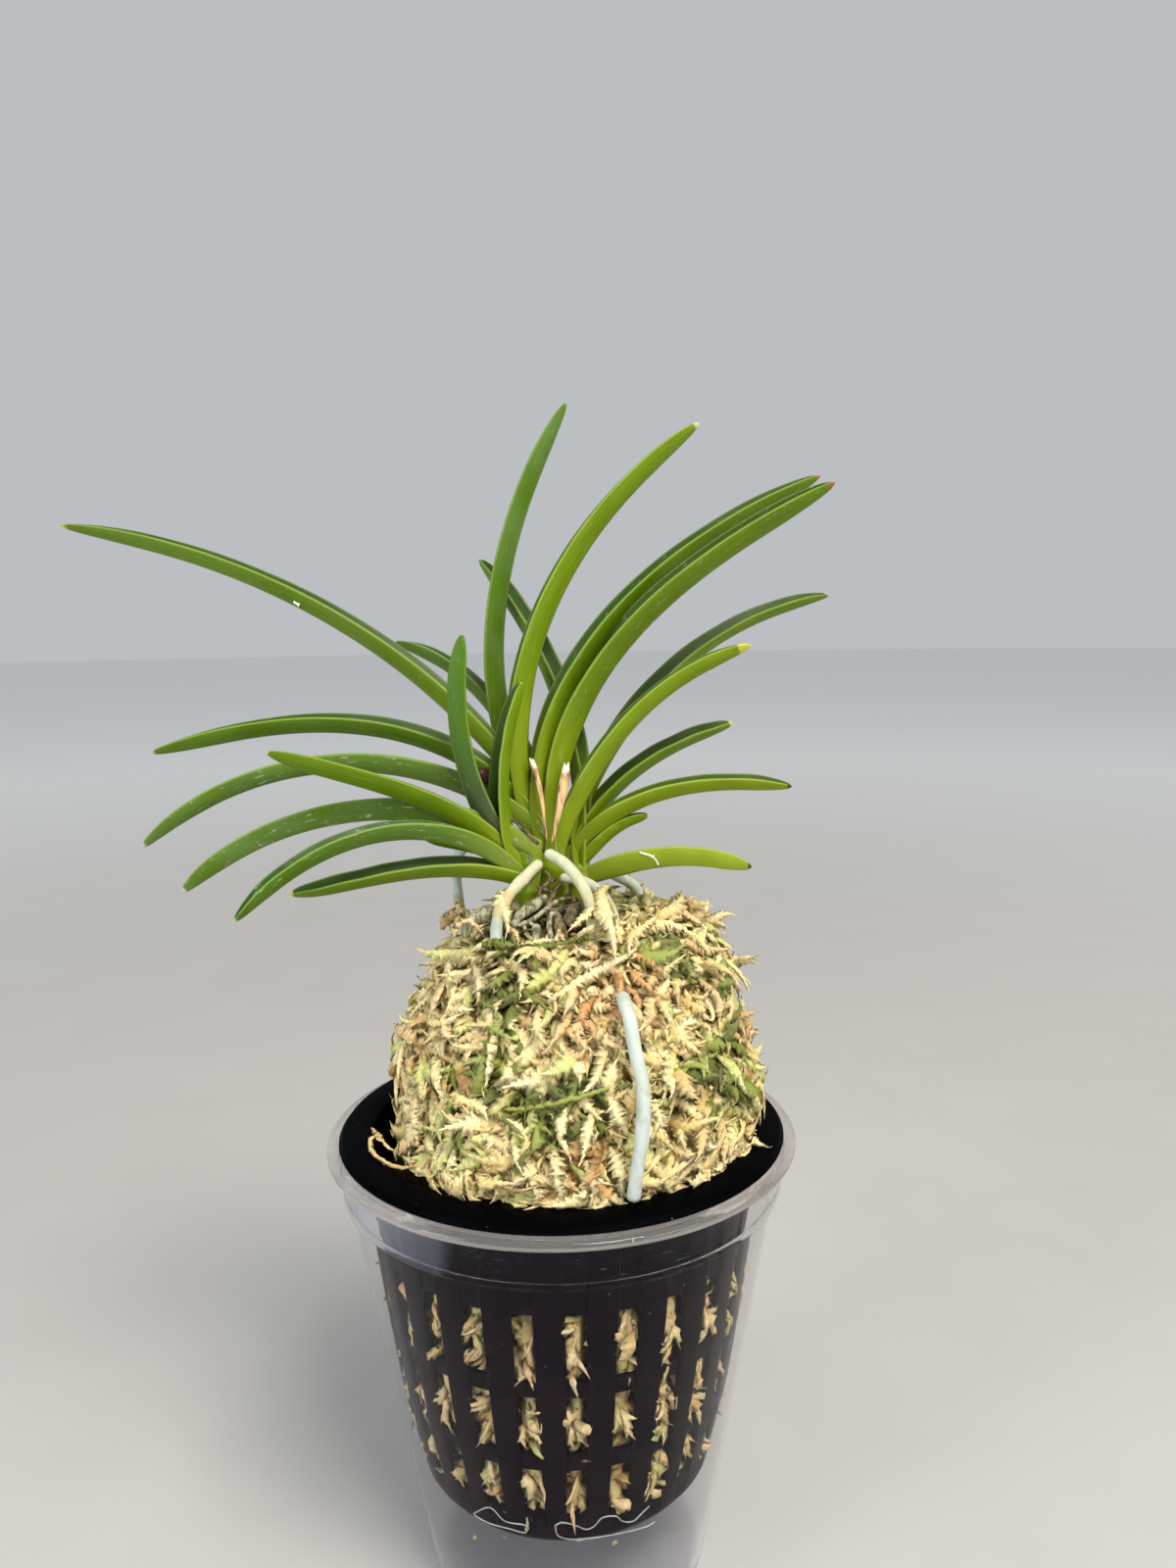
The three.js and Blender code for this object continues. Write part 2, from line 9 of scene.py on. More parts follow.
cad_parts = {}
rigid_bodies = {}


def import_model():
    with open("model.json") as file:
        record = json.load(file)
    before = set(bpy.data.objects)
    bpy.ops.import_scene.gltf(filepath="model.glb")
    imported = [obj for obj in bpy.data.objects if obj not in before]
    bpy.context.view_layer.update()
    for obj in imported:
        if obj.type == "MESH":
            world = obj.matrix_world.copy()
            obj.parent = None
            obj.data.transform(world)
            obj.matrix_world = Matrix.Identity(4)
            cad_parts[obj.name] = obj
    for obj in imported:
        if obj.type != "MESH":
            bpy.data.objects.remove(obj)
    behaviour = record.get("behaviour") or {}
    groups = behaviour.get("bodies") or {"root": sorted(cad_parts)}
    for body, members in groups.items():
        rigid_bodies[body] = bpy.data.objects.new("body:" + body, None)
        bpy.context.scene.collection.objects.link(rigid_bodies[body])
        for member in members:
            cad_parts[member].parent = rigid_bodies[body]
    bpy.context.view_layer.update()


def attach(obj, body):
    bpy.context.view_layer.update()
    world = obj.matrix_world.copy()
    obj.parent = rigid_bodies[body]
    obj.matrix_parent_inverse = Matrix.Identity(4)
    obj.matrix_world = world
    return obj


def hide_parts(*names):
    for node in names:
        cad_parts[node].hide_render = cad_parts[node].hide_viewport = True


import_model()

MM = 0.001

# ---------------------------------------------------------------- camera, floor and light
# A long table view from just above the crown of the plant, with a pale floor and three soft lamps: a wide one
# overhead, a tall one on the left that draws the streaks on the cup, and a weak one on the right.

camera_data = bpy.data.cameras.new("camera")
camera_data.sensor_width = 36
camera_data.lens = 27.05
camera = bpy.data.objects.new("camera", camera_data)
CAMERA_PLACE = Vector((5, -184.5, 157.2)) * MM
CAMERA_TILT = math.radians(90 - 7.86)
CAMERA_ROLL = math.radians(-0.75)
camera_turn = Matrix.Rotation(CAMERA_TILT, 4, "X") @ Matrix.Rotation(CAMERA_ROLL, 4, "Z")
camera.matrix_world = Matrix.Translation(CAMERA_PLACE) @ camera_turn
bpy.context.scene.collection.objects.link(camera)
bpy.context.scene.camera = camera
bpy.context.scene.view_settings.view_transform = "Standard"


class Value:
    """A node socket that takes part in sums: each operator adds a Math node."""

    def __init__(self, finish, socket):
        self.finish = finish
        self.socket = socket

    def maths(self, operation, first, second=None):
        values = {0: first} if second is None else {0: first, 1: second}
        return self.finish.node("ShaderNodeMath", {"operation": operation}, values)

    def __add__(self, other):
        return self.maths("ADD", self, other)

    def __radd__(self, other):
        return self.maths("ADD", other, self)

    def __sub__(self, other):
        return self.maths("SUBTRACT", self, other)

    def __rsub__(self, other):
        return self.maths("SUBTRACT", other, self)

    def __mul__(self, other):
        return self.maths("MULTIPLY", self, other)

    def __rmul__(self, other):
        return self.maths("MULTIPLY", other, self)

    def __abs__(self):
        return self.maths("ABSOLUTE", self)

    def fraction(self):
        """What is left over a whole number: it climbs from 0 to 1 again and again."""
        return self.maths("FRACT", self)

    def ease(self, low, high):
        """0 below low, 1 above high, smooth between."""
        settings = {"interpolation_type": "SMOOTHSTEP"}
        values = {"Value": self, "From Min": low, "From Max": high}
        return self.finish.node("ShaderNodeMapRange", settings, values)


class Finish:
    """One material and its nodes."""

    def __init__(self, name):
        self.material = bpy.data.materials.new(name)
        self.material.use_nodes = True
        self.tree = self.material.node_tree
        self.tree.nodes.clear()

    def node(self, kind, settings=None, values=None, output=0):
        made = self.tree.nodes.new(kind)
        for name, setting in (settings or {}).items():
            setattr(made, name, setting)
        for name, value in (values or {}).items():
            if isinstance(value, Value):
                self.tree.links.new(value.socket, made.inputs[name])
            else:
                made.inputs[name].default_value = value
        return Value(self, made.outputs[output]) if made.outputs else None

    def place(self):
        return self.node("ShaderNodeTexCoord", output="Object")

    def stretched(self, where, scale):
        return self.node("ShaderNodeMapping", None, {"Vector": where, "Scale": scale})

    def noise(self, where, scale, detail=2.0, roughness=0.5, output="Fac"):
        values = {"Vector": where, "Scale": scale, "Detail": detail, "Roughness": roughness}
        return self.node("ShaderNodeTexNoise", None, values, output)

    def attribute(self, name, output="Fac"):
        return self.node("ShaderNodeAttribute", {"attribute_name": name}, None, output)

    def mix(self, share, low, high):
        """Colour low where share is 0, and high where it is 1."""
        low = low if isinstance(low, Value) else (*low, 1)
        high = high if isinstance(high, Value) else (*high, 1)
        return self.node("ShaderNodeMix", {"data_type": "RGBA"}, {0: share, 6: low, 7: high}, 2)

    def bump(self, height, strength, distance):
        return self.node("ShaderNodeBump", None, {"Height": height, "Strength": strength, "Distance": distance})

    def shader(self, **sockets):
        values = {name.replace("_", " "): value for name, value in sockets.items()}
        return self.node("ShaderNodeBsdfPrincipled", None, values)

    def close(self, shader):
        self.node("ShaderNodeOutputMaterial", None, {"Surface": shader})
        return self.material


def pale_ground():
    """Matt pale stone, a little lighter far away."""
    finish = Finish("pale_ground")
    place = finish.place()
    grain = finish.noise(place, 30, 4)
    colour = finish.mix(grain, (0.44, 0.425, 0.4), (0.48, 0.465, 0.44))
    away = finish.node("ShaderNodeVectorMath", {"operation": "LENGTH"}, {0: place}, "Value")
    colour = finish.mix(away.ease(0.2, 1.3), colour, (0.9, 0.9, 0.89))
    return finish.close(finish.shader(Base_Color=colour, Roughness=0.8))


FLOOR_RADIUS, FLOOR_SIDES = 6, 64
floor_mesh = bpy.data.meshes.new("floor")
floor_mesh.from_pydata(
    [
        (FLOOR_RADIUS * math.cos(turn), FLOOR_RADIUS * math.sin(turn), 0)
        for turn in np.linspace(0, 2 * math.pi, FLOOR_SIDES, False)
    ],
    [],
    [range(FLOOR_SIDES)],
)
floor_mesh.materials.append(pale_ground())
floor = bpy.data.objects.new("floor", floor_mesh)
bpy.context.scene.collection.objects.link(floor)

world = bpy.data.worlds.new("room")
world.use_nodes = True
world.node_tree.nodes["Background"].inputs["Color"].default_value = (0.93, 0.96, 1, 1)
world.node_tree.nodes["Background"].inputs["Strength"].default_value = 0.54
bpy.context.scene.world = world


def soft_lamp(name, place, aim, size, power, colour):
    """A lamp behind a rectangular diffuser, in metres and watts."""
    lamp_data = bpy.data.lights.new(name, "AREA")
    lamp_data.shape = "RECTANGLE"
    lamp_data.size, lamp_data.size_y = size
    lamp_data.energy = power
    lamp_data.color = colour
    lamp = bpy.data.objects.new(name, lamp_data)
    lamp.location = place
    lamp.rotation_euler = (Vector(aim) - Vector(place)).to_track_quat("-Z", "Y").to_euler()
    bpy.context.scene.collection.objects.link(lamp)


soft_lamp("overhead", (0.24, -0.42, 0.78), (0, 0, 0.1), (0.34, 0.26), 7.6, (1, 0.965, 0.9))
soft_lamp("window_left", (-0.6, -0.45, 0.3), (0, 0, 0.09), (0.25, 0.5), 3.2, (0.86, 0.93, 1))
soft_lamp("right", (0.65, -0.5, 0.45), (0, 0, 0.1), (0.4, 0.4), 2.6, (1, 0.96, 0.9))

# ---------------------------------------------------------------- clear cup
# A thin tumbler of clear polystyrene, moulded in one piece: a straight tapered wall, a stacking ledge under a
# short neck, and a rolled lip. The net pot hangs by its flange on the lip.

LIP_RADIUS, LIP_TOP = 37.9, 75.3
LEDGE_RADIUS, LEDGE_Z = 34.6, 67.2
BASE_RADIUS, CORNER = 22.8, 4.5
CUP_WALL, CUP_FLOOR = 0.9, 1.2
CUP_SIDES = 192


def add_piece(name, points, faces, material, slot, *replaced):
    """A smooth mesh piece, with its points in millimetres, that rides on the body and may replace CAD nodes."""
    mesh = bpy.data.meshes.new(name)
    mesh.from_pydata(np.asarray(points) * MM, [], faces)
    mesh.shade_smooth()
    mesh.materials.append(material)
    piece = bpy.data.objects.new(name, mesh)
    bpy.context.scene.collection.objects.link(piece)
    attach(piece, "root")
    if replaced:
        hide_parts(*replaced)
    return piece


def grid_faces(rows, columns, around=True, start=0):
    """Quads between the rows of a grid of points; around also joins its last column to its first."""
    faces = []
    for row in range(rows - 1):
        for column in range(columns if around else columns - 1):
            a = start + row * columns + column
            b = start + row * columns + (column + 1) % columns
            faces.append((a, b, b + columns, a + columns))
    return faces


def closed_grid(rows, columns, start=0):
    """Quads all round a grid of points, with a face over its first row and over its last one."""
    last = start + (rows - 1) * columns
    return [
        *grid_faces(rows, columns, True, start),
        tuple(range(start, start + columns))[::-1],
        tuple(range(last, last + columns)),
    ]


def arc(centre, radius, first, last, count):
    """Points [radius from the axis, z] on an arc, with its angles in degrees."""
    angles = np.radians(np.linspace(first, last, count))
    return [(centre[0] + radius * math.cos(a), centre[1] + radius * math.sin(a)) for a in angles]


def revolved(profile, sides):
    """Points and faces of a profile turned about the upright axis; the ends on the axis are closed."""
    profile = np.array(profile)
    turn = np.linspace(0, 2 * math.pi, sides, endpoint=False)
    points = np.stack([
        profile[:, :1] * np.cos(turn), profile[:, :1] * np.sin(turn), np.repeat(profile[:, 1:], sides, axis=1),
    ], axis=-1).reshape(-1, 3)
    return points, closed_grid(len(profile), sides)


def cup_profile():
    """From the middle of the underside, up the outside, over the lip, and down to the middle of the inside."""
    neck = LEDGE_RADIUS + 1
    wall_foot = BASE_RADIUS + 0.8
    near_axis = 0.4
    lip_roll = 0.75
    outside = [
        (near_axis, 0.5), (BASE_RADIUS - CORNER - 1.4, 0.5), (BASE_RADIUS - CORNER - 0.9, 0.05),
        *arc((wall_foot - 4.2, 4.2), 4.2, -86, -14, 12),
        (LEDGE_RADIUS - 0.1, LEDGE_Z - 0.9), (LEDGE_RADIUS + 0.25, LEDGE_Z - 0.5),
        (neck - 0.1, LEDGE_Z + 0.1), (neck + 0.05, LEDGE_Z + 0.5),
        (neck + 0.35, LIP_TOP - 1.75), (neck + 0.6, LIP_TOP - 1.55),
        *arc((LIP_RADIUS - lip_roll, LIP_TOP - lip_roll), lip_roll, -84, 84, 12),
        (LIP_RADIUS - 1.45, LIP_TOP - 0.12), (LIP_RADIUS - 1.7, LIP_TOP - 0.12),
        (LIP_RADIUS - 1.9, LIP_TOP - 0.01),
    ]
    inside = [
        (neck - CUP_WALL + 0.6, LIP_TOP - 0.01), (neck - CUP_WALL + 0.15, LIP_TOP - 0.5),
        (neck - CUP_WALL, LEDGE_Z + 1), (neck - CUP_WALL - 0.3, LEDGE_Z + 0.4),
        (LEDGE_RADIUS - CUP_WALL + 0.05, LEDGE_Z - 0.1), (LEDGE_RADIUS - CUP_WALL - 0.1, LEDGE_Z - 0.7),
        *arc((wall_foot - CUP_WALL - 3.5, CUP_FLOOR + 3.5), 3.5, -12, -88, 10),
        (near_axis, CUP_FLOOR),
    ]
    return outside + inside


def clear_plastic():
    """Clear plastic with flow lines in the neck, hair scratches, scuffs and dried marks. Lamps shine through it.
    A bluish reflection of a window is painted on the left of the neck, and two thin highlight lines are painted
    round the lip.
    """
    finish = Finish("clear_plastic")
    place = finish.place()
    across, height = (finish.node("ShaderNodeSeparateXYZ", None, {"Vector": place}, axis) for axis in "XZ")
    neck = height.ease(0.0665, 0.068)
    swirl = finish.noise(finish.stretched(place, (900, 900, 90)), 1, 3, 0.6)
    scratch = finish.noise(finish.stretched(place, (140, 140, 2600)), 1, 2, 0.7).ease(0.64, 0.7)
    marks = finish.noise(place, 260, 3, 0.6).ease(0.55, 0.75)
    patch = finish.noise(finish.stretched(place, (55, 55, 12)), 1, 1, 0.5).ease(0.5, 0.56)
    # window: a patch on the left of the neck with a painted bluish reflection of a window, and a real coat.
    window = patch * (1 - across.ease(-0.032, -0.002)) * 0.7
    lip = height.ease(0.0735, 0.0738)
    # Two thin painted highlight lines run round the lip.
    rings = (1 - abs(height - 0.07395).ease(0.0001, 0.00022)) + (1 - abs(height - 0.0745).ease(0.00005, 0.0002))
    rough = 0.004 + 0.05 * scratch + 0.012 * marks
    shine = 0.03 + neck * (0.05 + window) + 0.35 * lip
    groove = 1 - abs(height - 0.0671).ease(0.00015, 0.0004)
    colour = finish.mix(lip, (0.87, 0.86, 0.875), (0.7, 0.67, 0.65))
    colour = finish.mix(groove * 0.8, colour, (0.3, 0.16, 0.12))
    relief = finish.bump(swirl * neck * 0.3 + scratch * 0.15 + finish.noise(place, 60, 2), 0.1, 0.0005)
    glass = finish.shader(
        Base_Color=colour, Roughness=rough, IOR=1.075, Transmission_Weight=1.0, Coat_Weight=shine,
        Coat_Roughness=0.06, Normal=relief,
    )
    scuff = finish.noise(finish.stretched(place, (260, 260, 3600)), 1, 2, 0.7).ease(0.66, 0.72)
    specks = finish.noise(place, 1300, 1).ease(0.78, 0.8)
    # Bluish on the neck: a painted reflection of a window. Grey-brown at the lip: the milky lip.
    haze_and_reflection_tint = finish.mix(lip, (0.3, 0.38, 0.62), (0.5, 0.47, 0.44))
    milky_and_painted_light = finish.shader(Base_Color=haze_and_reflection_tint, Roughness=0.5, Normal=relief)
    # The milky layer: painted window reflection, milky lip, painted highlight lines, scuffs, specks, scratches.
    cover = window * neck * 0.12 + lip * 0.18 + rings * 0.16 + scuff * neck * 0.25
    cover = cover + specks * 0.3 + scratch * 0.03
    glass = finish.node("ShaderNodeMixShader", None, {0: cover, 1: glass, 2: milky_and_painted_light})
    through = finish.node("ShaderNodeBsdfTransparent", None, {"Color": (0.72, 0.74, 0.77, 1)})
    lamp_ray = finish.node("ShaderNodeLightPath", output="Is Shadow Ray")
    return finish.close(finish.node("ShaderNodeMixShader", None, {0: lamp_ray, 1: glass, 2: through}))


clear = clear_plastic()
cup_points, cup_faces = revolved(cup_profile(), CUP_SIDES)
add_piece("cup_wall", cup_points, cup_faces, clear, "clear_plastic", "clear_cup")

# ---------------------------------------------------------------- net pot
# A pot of black polypropylene, moulded in one piece: a flat flange, 24 columns of slots in three rows in a
# tapered wall, each column in a shallow recess, and a slotted base. It is thin all over.

FLANGE_RADIUS, FLANGE_TOP, FLANGE_THICK = 36.0, 76.0, 0.65
POT_WALL, POT_BASE_Z = 1.1, 18.0
SLOTS_ROUND, SLOT_WIDTH = 24, 3.0
SLOT_PITCH = 2 * math.pi / SLOTS_ROUND
SLOT_TURN = math.radians(-90 + 4.5)
SLOT_ROWS = [(60, 48.5), (46, 35.4), (32.9, 24.1)]
COLUMN_RECESS = 0.3
POT_KNOTS_Z = [POT_BASE_Z, 20, 32.9, 46, 60, FLANGE_TOP]
POT_KNOTS_RADIUS = [21.6, 23.2, 26, 28, 29.8, 31.3]


def pot_radius(z):
    """Outer radius of the wall at a height."""
    return np.interp(z, POT_KNOTS_Z, POT_KNOTS_RADIUS)


def off_slot(turn):
    """The angle from the middle of the nearest column of slots."""
    return abs((turn - SLOT_TURN + SLOT_PITCH / 2) % SLOT_PITCH - SLOT_PITCH / 2)


def pot_wall():
    """The outer skin as one sheet, open at the slots, from the middle of the base to the flange's edge."""
    recess_low, recess_high = 22.2, 73.5
    rows = [(0.6, POT_BASE_Z), (6, POT_BASE_Z), (10.5, POT_BASE_Z), (17, POT_BASE_Z), (20.6, POT_BASE_Z)]
    heights = [
        POT_BASE_Z + 0.35, 20, 21.6, recess_low, 24.1, 28.5, 32.9, 35.4, 40.7, 46, 48.5, 54.2, 60, 66.5,
        recess_high, recess_high + 0.6,
    ]
    rows += [(pot_radius(z), z) for z in heights]
    under = FLANGE_TOP - FLANGE_THICK
    rows += [(pot_radius(under) + 0.3, under), (FLANGE_RADIUS - 0.2, under), (FLANGE_RADIUS, under + 0.2)]
    points = []
    for radius, z in rows:
        sunk = COLUMN_RECESS if recess_low <= z <= recess_high and radius < 33 else 0
        half = min(math.asin(min(1, SLOT_WIDTH / 2 / radius)), 0.36 * SLOT_PITCH)
        lip = half + 0.18 / max(radius, 5)
        rib = np.linspace(lip, SLOT_PITCH - lip, 5)
        for column in range(SLOTS_ROUND):
            middle = SLOT_TURN + column * SLOT_PITCH
            for offset, depth in [(-half, sunk), (0, sunk), (half, sunk), *((turn, 0) for turn in rib)]:
                reach = radius - depth
                points.append((reach * math.cos(middle + offset), reach * math.sin(middle + offset), z))
    per_column = 8
    columns = SLOTS_ROUND * per_column
    row_z = [z for _, z in rows]
    faces = []
    for index, face in enumerate(grid_faces(len(rows), columns)):
        row, column = divmod(index, columns)
        in_slot = column % per_column < 2
        middle_z = (row_z[row] + row_z[row + 1]) / 2
        in_window = any(low < middle_z < high for high, low in SLOT_ROWS)
        in_base = row == 2 and (column // per_column) % 2 == 0
        if not (in_slot and (in_window or in_base)):
            faces.append(face)
    return points, faces


def black_plastic():
    """Black plastic with a satin moulded face, dust, and a dull bloom of dried water low on the wall.
    The flange's top is duller, and painted a darker, bluish black: painted shade and a faint painted sheen.
    """
    finish = Finish("black_plastic")
    place = finish.place()
    height = finish.node("ShaderNodeSeparateXYZ", None, {"Vector": place}, "Z")
    cloud = finish.noise(place, 90, 4, 0.6)
    dust = finish.noise(place, 1500, 2, 0.5).ease(0.74, 0.8)
    film = (1 - height.ease(0.02, 0.07)) * cloud.ease(0.35, 0.75)
    colour = finish.mix(film * 0.5, (0.005, 0.0028, 0.005), (0.024, 0.012, 0.01))
    # The flange's top: a darker, bluish black than the wall, as painted shade and a faint painted sheen.
    colour = finish.mix(height.ease(0.073, 0.0745), colour, (0.0008, 0.001, 0.0014))
    colour = finish.mix(dust * 0.25, colour, (0.3, 0.27, 0.22))
    rough = 0.27 + 0.16 * cloud + 0.25 * film + 0.3 * dust
    relief = finish.bump(finish.noise(place, 90, 1), 0.08, 0.0004)
    moulded = finish.shader(Base_Color=colour, Roughness=rough, Specular_IOR_Level=0.025, Normal=relief)
    dull = finish.shader(Base_Color=colour, Roughness=0.8, Specular_IOR_Level=0.0)
    flange = height.ease(0.0745, 0.0755) * 0.7
    return finish.close(finish.node("ShaderNodeMixShader", None, {0: flange, 1: moulded, 2: dull}))


def finished(piece, *modifiers):
    """Sets the modifiers, with their settings, and keeps their result as the piece's mesh."""
    for kind, settings in modifiers:
        modifier = piece.modifiers.new(kind.lower(), kind)
        for name, setting in settings.items():
            setattr(modifier, name, setting)
    shaped = bpy.data.meshes.new_from_object(piece.evaluated_get(bpy.context.evaluated_depsgraph_get()))
    piece.modifiers.clear()
    piece.data = shaped
    return piece


pot_points, pot_faces = pot_wall()
pot = add_piece("net_pot_wall", pot_points, pot_faces, black_plastic(), "black_plastic", "net_pot")
finished(
    pot,
    ("SOLIDIFY", {"thickness": POT_WALL * MM * 0.95, "offset": -1, "use_even_offset": True}),
    ("BEVEL", {"width": 0.16 * MM, "segments": 2, "limit_method": "ANGLE", "angle_limit": math.radians(50)}),
)
pot.data.set_sharp_from_angle(angle=math.radians(40))

# ---------------------------------------------------------------- sphagnum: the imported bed
# Damp sphagnum packed round the roots: it fills the pot and is heaped into a mound above it, with a hollow
# under the crown of the plant. This is the dense mass; the loose strands on it come next.

MOUND_Z = [76.4, 79, 82.5, 86.5, 90.5, 94.5, 98.5, 102.5, 106, 109, 111.4, 112, 110.8, 109.6]
MOUND_RADIUS = [29.6, 29.9, 30, 29.4, 28.4, 27.2, 25.7, 23.8, 21.4, 18.4, 14.6, 11.5, 8, 3]
MOUND_SHIFT = [0.3, 1.2, 2, 2.1, 2, 2.2, 2.6, 3, 3.6, 4.2, 3.8, 2, 0.4, -0.4]
HOLLOW_CENTRE_Y = -3
CROWN_X, CROWN_Y, CROWN_REACH = -2, -5, 8
BED_ROUND, BED_ROWS, FILL_ROWS = 200, 84, 50


def mound_point(turn, step, sink):
    """A point of the mound at an angle, where step runs over the rings from the flange to the hollow."""
    ring = np.arange(len(MOUND_Z))
    z, radius, shift = (np.interp(step, ring, values) for values in (MOUND_Z, MOUND_RADIUS, MOUND_SHIFT))
    swell = 2.6 * math.exp(-((math.atan2(math.sin(turn), math.cos(turn)) / 0.55) ** 2 + ((z - 109.5) / 4) ** 2))
    small_lump = 0.8 * math.sin(7 * turn + 2) * math.sin(0.55 * z)
    lump = 0.6 * (math.sin(3 * turn + 1) * math.cos(0.31 * z) + small_lump)
    reach = radius + min(1, radius / 12) * (swell + lump) - sink * min(1, radius / 10)
    hollow = max(0, 1 - radius / 16)
    return Vector((
        shift + reach * math.cos(turn),
        HOLLOW_CENTRE_Y * hollow + reach * math.sin(turn),
        z - sink * max(0, min(1, (step - 9) / 2)),
    ))


FOOT_SHIFT = 3.2
BULGE, BULGE_TURN, BULGE_SPREAD = 3, -2.1, 0.65


def drawn_in(points, edge):
    """Points beyond the edge of the mound's foot come closer to it. The foot is widest at the front left."""
    from_foot = points[:, :2] - [FOOT_SHIFT, 0]
    reach = np.hypot(*from_foot.T)
    turn = np.arctan2(from_foot[:, 1], from_foot[:, 0])
    edge = edge + BULGE * np.exp(-(((turn - BULGE_TURN) / BULGE_SPREAD) ** 2))
    from_foot *= (np.where(reach > edge, edge + 0.3 * (reach - edge), reach) / reach)[:, None]
    points[:, :2] = from_foot + [FOOT_SHIFT, 0]
    return points


def packed_bed():
    """The bed's skin from the hollow down over the mound and inside the pot, with where strands may grow."""
    rng = np.random.default_rng(4)
    points, cover, window = [], [], []
    turns = np.linspace(0, 2 * math.pi, BED_ROUND, endpoint=False)
    for step in np.linspace(len(MOUND_Z) - 1, 0, BED_ROWS):
        for turn in turns:
            sink = 2.2 - 0.7 * math.cos(turn - 0.5) - 0.8 * max(0, 1 - step)
            point = mound_point(turn, step, sink)
            from_crown = math.hypot(point.x - CROWN_X, point.y - CROWN_Y)
            point.z -= 1.5 * max(0, 1 - from_crown / CROWN_REACH)
            points.append(point)
            cover.append(0.1 if from_crown < CROWN_REACH and step > 9 else 2.2 if point.z < 80 else 1)
            window.append(0)
    for z in np.linspace(FLANGE_TOP, POT_BASE_Z + POT_WALL + 0.35, FILL_ROWS):
        edge = min(abs(z - end) for row in SLOT_ROWS for end in row)
        at_slot = any(low < z < high for high, low in SLOT_ROWS)
        for turn in turns:
            off = off_slot(turn) * pot_radius(z)
            inside = min(1, max(0, SLOT_WIDTH / 2 - off) / 0.8) * min(1, edge / 0.8) if at_slot else 0
            tuck = max(0, 1 - (FLANGE_TOP - z) / 7)
            radius = (pot_radius(z) - POT_WALL - 0.6 + 0.9 * inside) * (1 - tuck) + 26.5 * tuck
            points.append(Vector((FOOT_SHIFT * tuck + radius * math.cos(turn), radius * math.sin(turn), z)))
            window.append(1 if inside > 0.4 else 0)
            cover.append(0)
    points = np.array(points)
    waves = np.zeros(len(points))
    for octave in range(4):
        ripples = points @ rng.normal(0, 0.5 * 1.7 ** octave, (3, 5)) + rng.uniform(0, 6, 5)
        waves += np.sin(ripples).sum(axis=1) / 1.5 ** octave
    outward = points - [0, 0, 70]
    outward[:, 2] *= points[:, 2] > FLANGE_TOP + 12
    outward /= np.linalg.norm(outward, axis=1)[:, None]
    points += outward * np.clip(waves / 5 - 0.7, -2, 0)[:, None]
    heap = BED_ROUND * BED_ROWS
    points[:heap] = drawn_in(points[:heap], 26.8 + 0.4 * np.clip(points[:heap, 2] - FLANGE_TOP, 0, 15))
    faces = [face[::-1] for face in closed_grid(BED_ROWS + FILL_ROWS, BED_ROUND)]
    return points, faces, {"cover": cover, "window": window}


# Middle and radius of the patches of live green moss, and of rusty old moss.
GREEN_PATCHES = [((-7, -13, 111), 5), ((-10, -19, 104), 5), ((-11, -23, 95), 6), ((-1, -28, 89), 8),
                 ((20, -23, 92), 5), ((28, -13, 91), 9), ((16, -14, 108), 4), ((24, -8, 102), 6),
                 ((13, 22, 98), 9), ((-22, 14, 92), 8), ((-14, -24, 86), 4)]
RUSTY_PATCHES = [((10, -22, 105), 6), ((4, -26, 100), 4), ((3, -30, 82), 5), ((-15, -24, 91), 4),
                 ((-25, -10, 90), 7), ((29, 4, 90), 7), ((0, 28, 90), 9)]


def nearness(points, patches):
    """How close each point is to any of the patches, 1 at their middle and 0 outside."""
    near = np.zeros(len(points))
    for centre, radius in patches:
        apart = np.linalg.norm(points - np.array(centre), axis=1) / radius
        near = np.maximum(near, np.clip(1.5 - apart, 0, 1))
    return near


